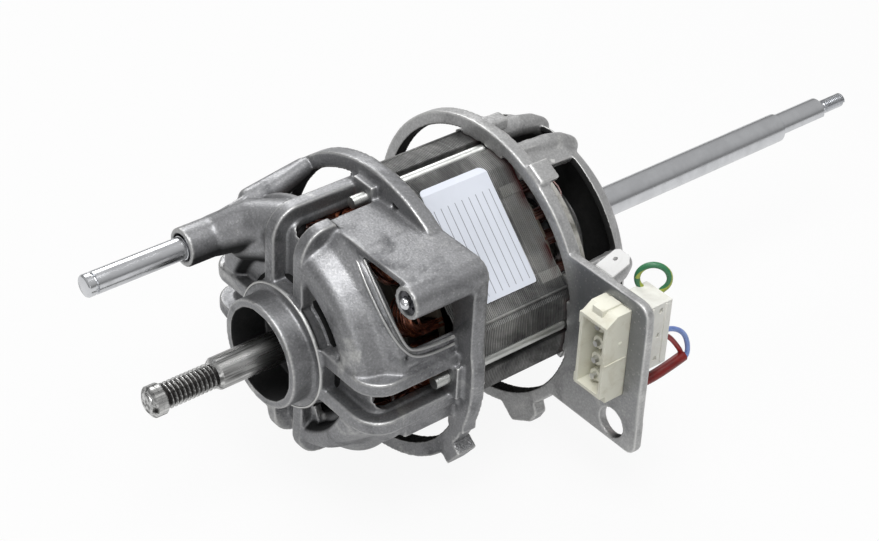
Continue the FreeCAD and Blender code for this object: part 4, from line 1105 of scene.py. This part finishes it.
plugShape = {
    "ridges": (((68.0, 90.6, -3.6), (68.8, 91.2, 18.0)), ((68.0, 95.9, -3.6), (68.8, 96.5, 18.0)),
               ((58.5, 84.6, 18.0), (67.4, 90.5, 19.0))),
    "pockets": (((67.7, 93.4, 15.2), (69.5, 94.9, 16.9)), ((67.7, 93.2, 6.3), (69.5, 94.7, 8.0)),
                ((67.7, 93.1, -2.2), (69.5, 94.6, -0.5))),
    "bevel": 0.3, "ridgeBevel": 0.2,
}


def makeSocket(s):
    shell = copyNode("socket_housing", "socket_shell")
    breakEdges(shell, s["bevel"])
    ribs = [addBlock("rib", low, high, s["ribBevel"]) for low, high in s["ribs"]]
    pins = [copyNode("contact_pins", "contact_pins_turned")]
    for height in s["heights"]:
        tip, front, back = ((s["across"], s[k], height)
                            for k in ("tipFront", "bossFront", "bossBack"))
        ribs.append(addRod("boss", front, back, s["bossRadius"]))
        pins.append(addRod("tip", tip, front, s["tipPoint"], s["tipRadius"], sides=20))
    standFor(joinPieces("contact_pins_turned", pins), "contact_pins", "tinned", smooth=35)
    shell = joinPieces("socket_shell", [shell] + ribs)
    standFor(shell, "socket_housing", "ivory", smooth=20)


def makePlug(s):
    plug = copyNode("plug_housing", "plug_shell")
    breakEdges(plug, s["bevel"])
    for box in s["pockets"]:
        useBoolean(plug, addBlock("pocket", *box), "DIFFERENCE")
    ridges = [addBlock("ridge", *box, bevel=s["ridgeBevel"]) for box in s["ridges"]]
    standFor(joinPieces("plug_shell", [plug] + ridges), "plug_housing", "white", smooth=20)


def makeTab(s):  # the leaf is cut flat and then tilted up about its front edge
    leaf = addBlock("leaf", *s["leaf"], s["bevel"])
    below, above = s["leaf"][0][2] - 1, s["leaf"][1][2] + 1
    for (x, y, radius), sides in [(s["hole"], 24)] + [(corner, 4) for corner in s["corners"]]:
        useBoolean(leaf, addRod("cut", (x, y, below), (x, y, above), radius, sides=sides),
                   "DIFFERENCE")
    hinge = Vector(s["hinge"]) * mm
    leaf.data.transform(Matrix.Translation(hinge) @ Matrix.Rotation(math.radians(s["tilt"]), 4, "X")
                        @ Matrix.Translation(-hinge))
    tab = joinPieces("earth_tab_folded", [leaf, addBlock("upright", *s["upright"], s["bevel"])])
    standFor(tab, "earth_tab", "tab", smooth=20)


makeSocket(socketShape)
makePlug(plugShape)
makeTab(tabShape)


# leads behind the plate

leadRoutes = {
    "blue_wire": {"radius": 0.8, "finish": "blue", "points": (
        (66.85, 98.5, 6.2), (66.85, 101.2, 5.8), (66.9, 106.0, 3.0), (66.9, 109.2, -2.2),
        (66.85, 110.4, -8.0), (66.85, 108.8, -8.8))},
    "red_wire": {"radius": 0.8, "finish": "red", "points": (
        (65.15, 98.5, 3.2), (65.15, 101.0, 2.4), (65.1, 104.2, -0.8), (65.1, 107.0, -4.8),
        (65.15, 109.4, -8.2), (65.15, 108.2, -8.8))},
    "lead_sleeve": {"radius": 1.75, "finish": "red_sleeve", "points": (
        (66, 109.3, -8.7), (66, 103.0, -10.1), (65.6, 97.0, -11.6), (64, 91.2, -13.2),
        (58.5, 89.6, -15.6), (52.5, 90.2, -17.3), (47, 91.6, -18.8), (42, 93.8, -19.5),
        (38, 95.8, -19.8))},
}
earthLoop = {"centre": (60.4, 98.0, 21.4), "ring": 4.85, "radius": 0.95, "gap": 60, "steps": 16,
             "twist": 1.3, "swing": 46, "feet": ((59.2, 96.6, 15.6), (62.6, 97.6, 15.2))}


def makeEarthLoop(s):
    centre, swing = Vector(s["centre"]), math.radians(s["swing"])
    side, up = Vector((math.cos(swing), math.sin(swing), 0)), Vector((0, 0, 1))
    start, end = math.radians(-90 + s["gap"] / 2), math.radians(270 - s["gap"] / 2)
    angles = [start + (end - start) * k / s["steps"] for k in range(s["steps"] + 1)]
    ring = [centre + (side * math.cos(a) + up * math.sin(a)) * s["ring"] for a in angles]
    first, last = s["feet"]
    wire = addWire("earth_loop_striped", [last] + ring + [first], s["radius"])
    stripe = wire.data.attributes.new("around", "FLOAT", "POINT")
    for vertex in wire.data.vertices:  # the way each point faces, twisted along the wire
        out = vertex.co / mm - centre
        wide, beside = out.dot(side), out.dot(side.cross(up))
        section = math.atan2(beside, math.hypot(wide, out.z) - s["ring"])
        along = math.atan2(out.z, wide)
        stripe.data[vertex.index].value = 0.5 + 0.5 * math.cos(section + s["twist"] * along)
    standFor(wire, "earth_loop_wire", "earth")


for node, s in leadRoutes.items():
    standFor(addWire(node + "_run", s["points"], s["radius"]), node, s["finish"])
makeEarthLoop(earthLoop)
print("housings and leads ready")


# floor, lamps and world

stageSettings = {
    "floorSize": 6.0, "floorColour": (0.62, 0.62, 0.62), "floorWhite": 0.92,
    "floorGloss": 0.6, "worldStrength": 0.46, "worldGloss": 0.20,
    "sky": ((0.0, 0.25), (0.40, 0.25), (0.50, 0.10), (0.58, 0.16), (0.70, 0.75), (0.85, 1.0),
            (1.0, 0.95)),
    "lamps": (
        {"name": "key", "place": (0.20, -0.10, 0.80), "size": 0.50, "power": 5.8},
        {"name": "fill", "place": (0.80, -0.60, 0.35), "size": 0.5, "power": 1.5},
        {"name": "rim", "place": (-0.7, 0.3, 0.6), "size": 0.4, "power": 3.2},
    ),
    "aim": (0, 0.08, 0),
}


def seenShare(tree, gloss):  # the camera and clear pieces see plain white, gloss a share of it
    path = addNode(tree, "LightPath").outputs
    seen = mathNode(tree, "MAXIMUM", path["Is Camera Ray"], path["Is Transmission Ray"])
    return mathNode(tree, "MAXIMUM", seen, product(tree, path["Is Glossy Ray"], gloss))


def mixShaders(tree, *sources):  # the share, then the two shaders
    mix = addNode(tree, "MixShader")
    for socket, source in zip(mix.inputs, sources):
        setSocket(tree, socket, source)
    return mix.outputs["Shader"]


def addFloor(s):
    clearSelection()
    bpy.ops.mesh.primitive_plane_add(size=s["floorSize"], location=(0, 0, cadBox[0][2]))
    floor = takeActive("floor")
    material, tree, surface = newMaterial("floor_white", Roughness=0.9, Specular_IOR_Level=0.1,
                                          Base_Color=s["floorColour"])
    glow = addNode(tree, "Emission", Strength=1.0, Color=(1, 1, 1))
    share = product(tree, seenShare(tree, s["floorGloss"]), s["floorWhite"])
    feed(tree, tree.nodes["Material Output"],
         Surface=mixShaders(tree, share, surface.outputs["BSDF"], glow.outputs["Emission"]))
    floor.data.materials.append(material)


def addWorld(s):
    world = bpy.data.worlds.new("studio")
    bpy.context.scene.world = world
    world.use_nodes = True
    tree = world.node_tree
    tree.nodes.clear()
    height = rangeNode(tree, splitPlace(tree, "Generated")["Z"], -1.0, 1.0)
    light = addNode(tree, "Background", Strength=s["worldStrength"],
                    Color=rampNode(tree, height, s["sky"])).outputs["Background"]
    white = addNode(tree, "Background", Strength=1.0, Color=(1, 1, 1)).outputs["Background"]
    addNode(tree, "OutputWorld",
            Surface=mixShaders(tree, seenShare(tree, s["worldGloss"]), light, white))


def addLamps(s):
    for lamp in s["lamps"]:
        data = bpy.data.lights.new(lamp["name"], "AREA")
        data.energy, data.size = lamp["power"], lamp["size"]
        thing = bpy.data.objects.new(lamp["name"], data)
        bpy.context.scene.collection.objects.link(thing)
        thing.location = lamp["place"]
        aim = Vector(s["aim"]) - Vector(lamp["place"])
        thing.rotation_euler = aim.to_track_quat("-Z", "Y").to_euler()


addFloor(stageSettings)
addWorld(stageSettings)
addLamps(stageSettings)
bpy.context.scene.view_settings.view_transform = "Standard"
print("floor, lamps and world ready")
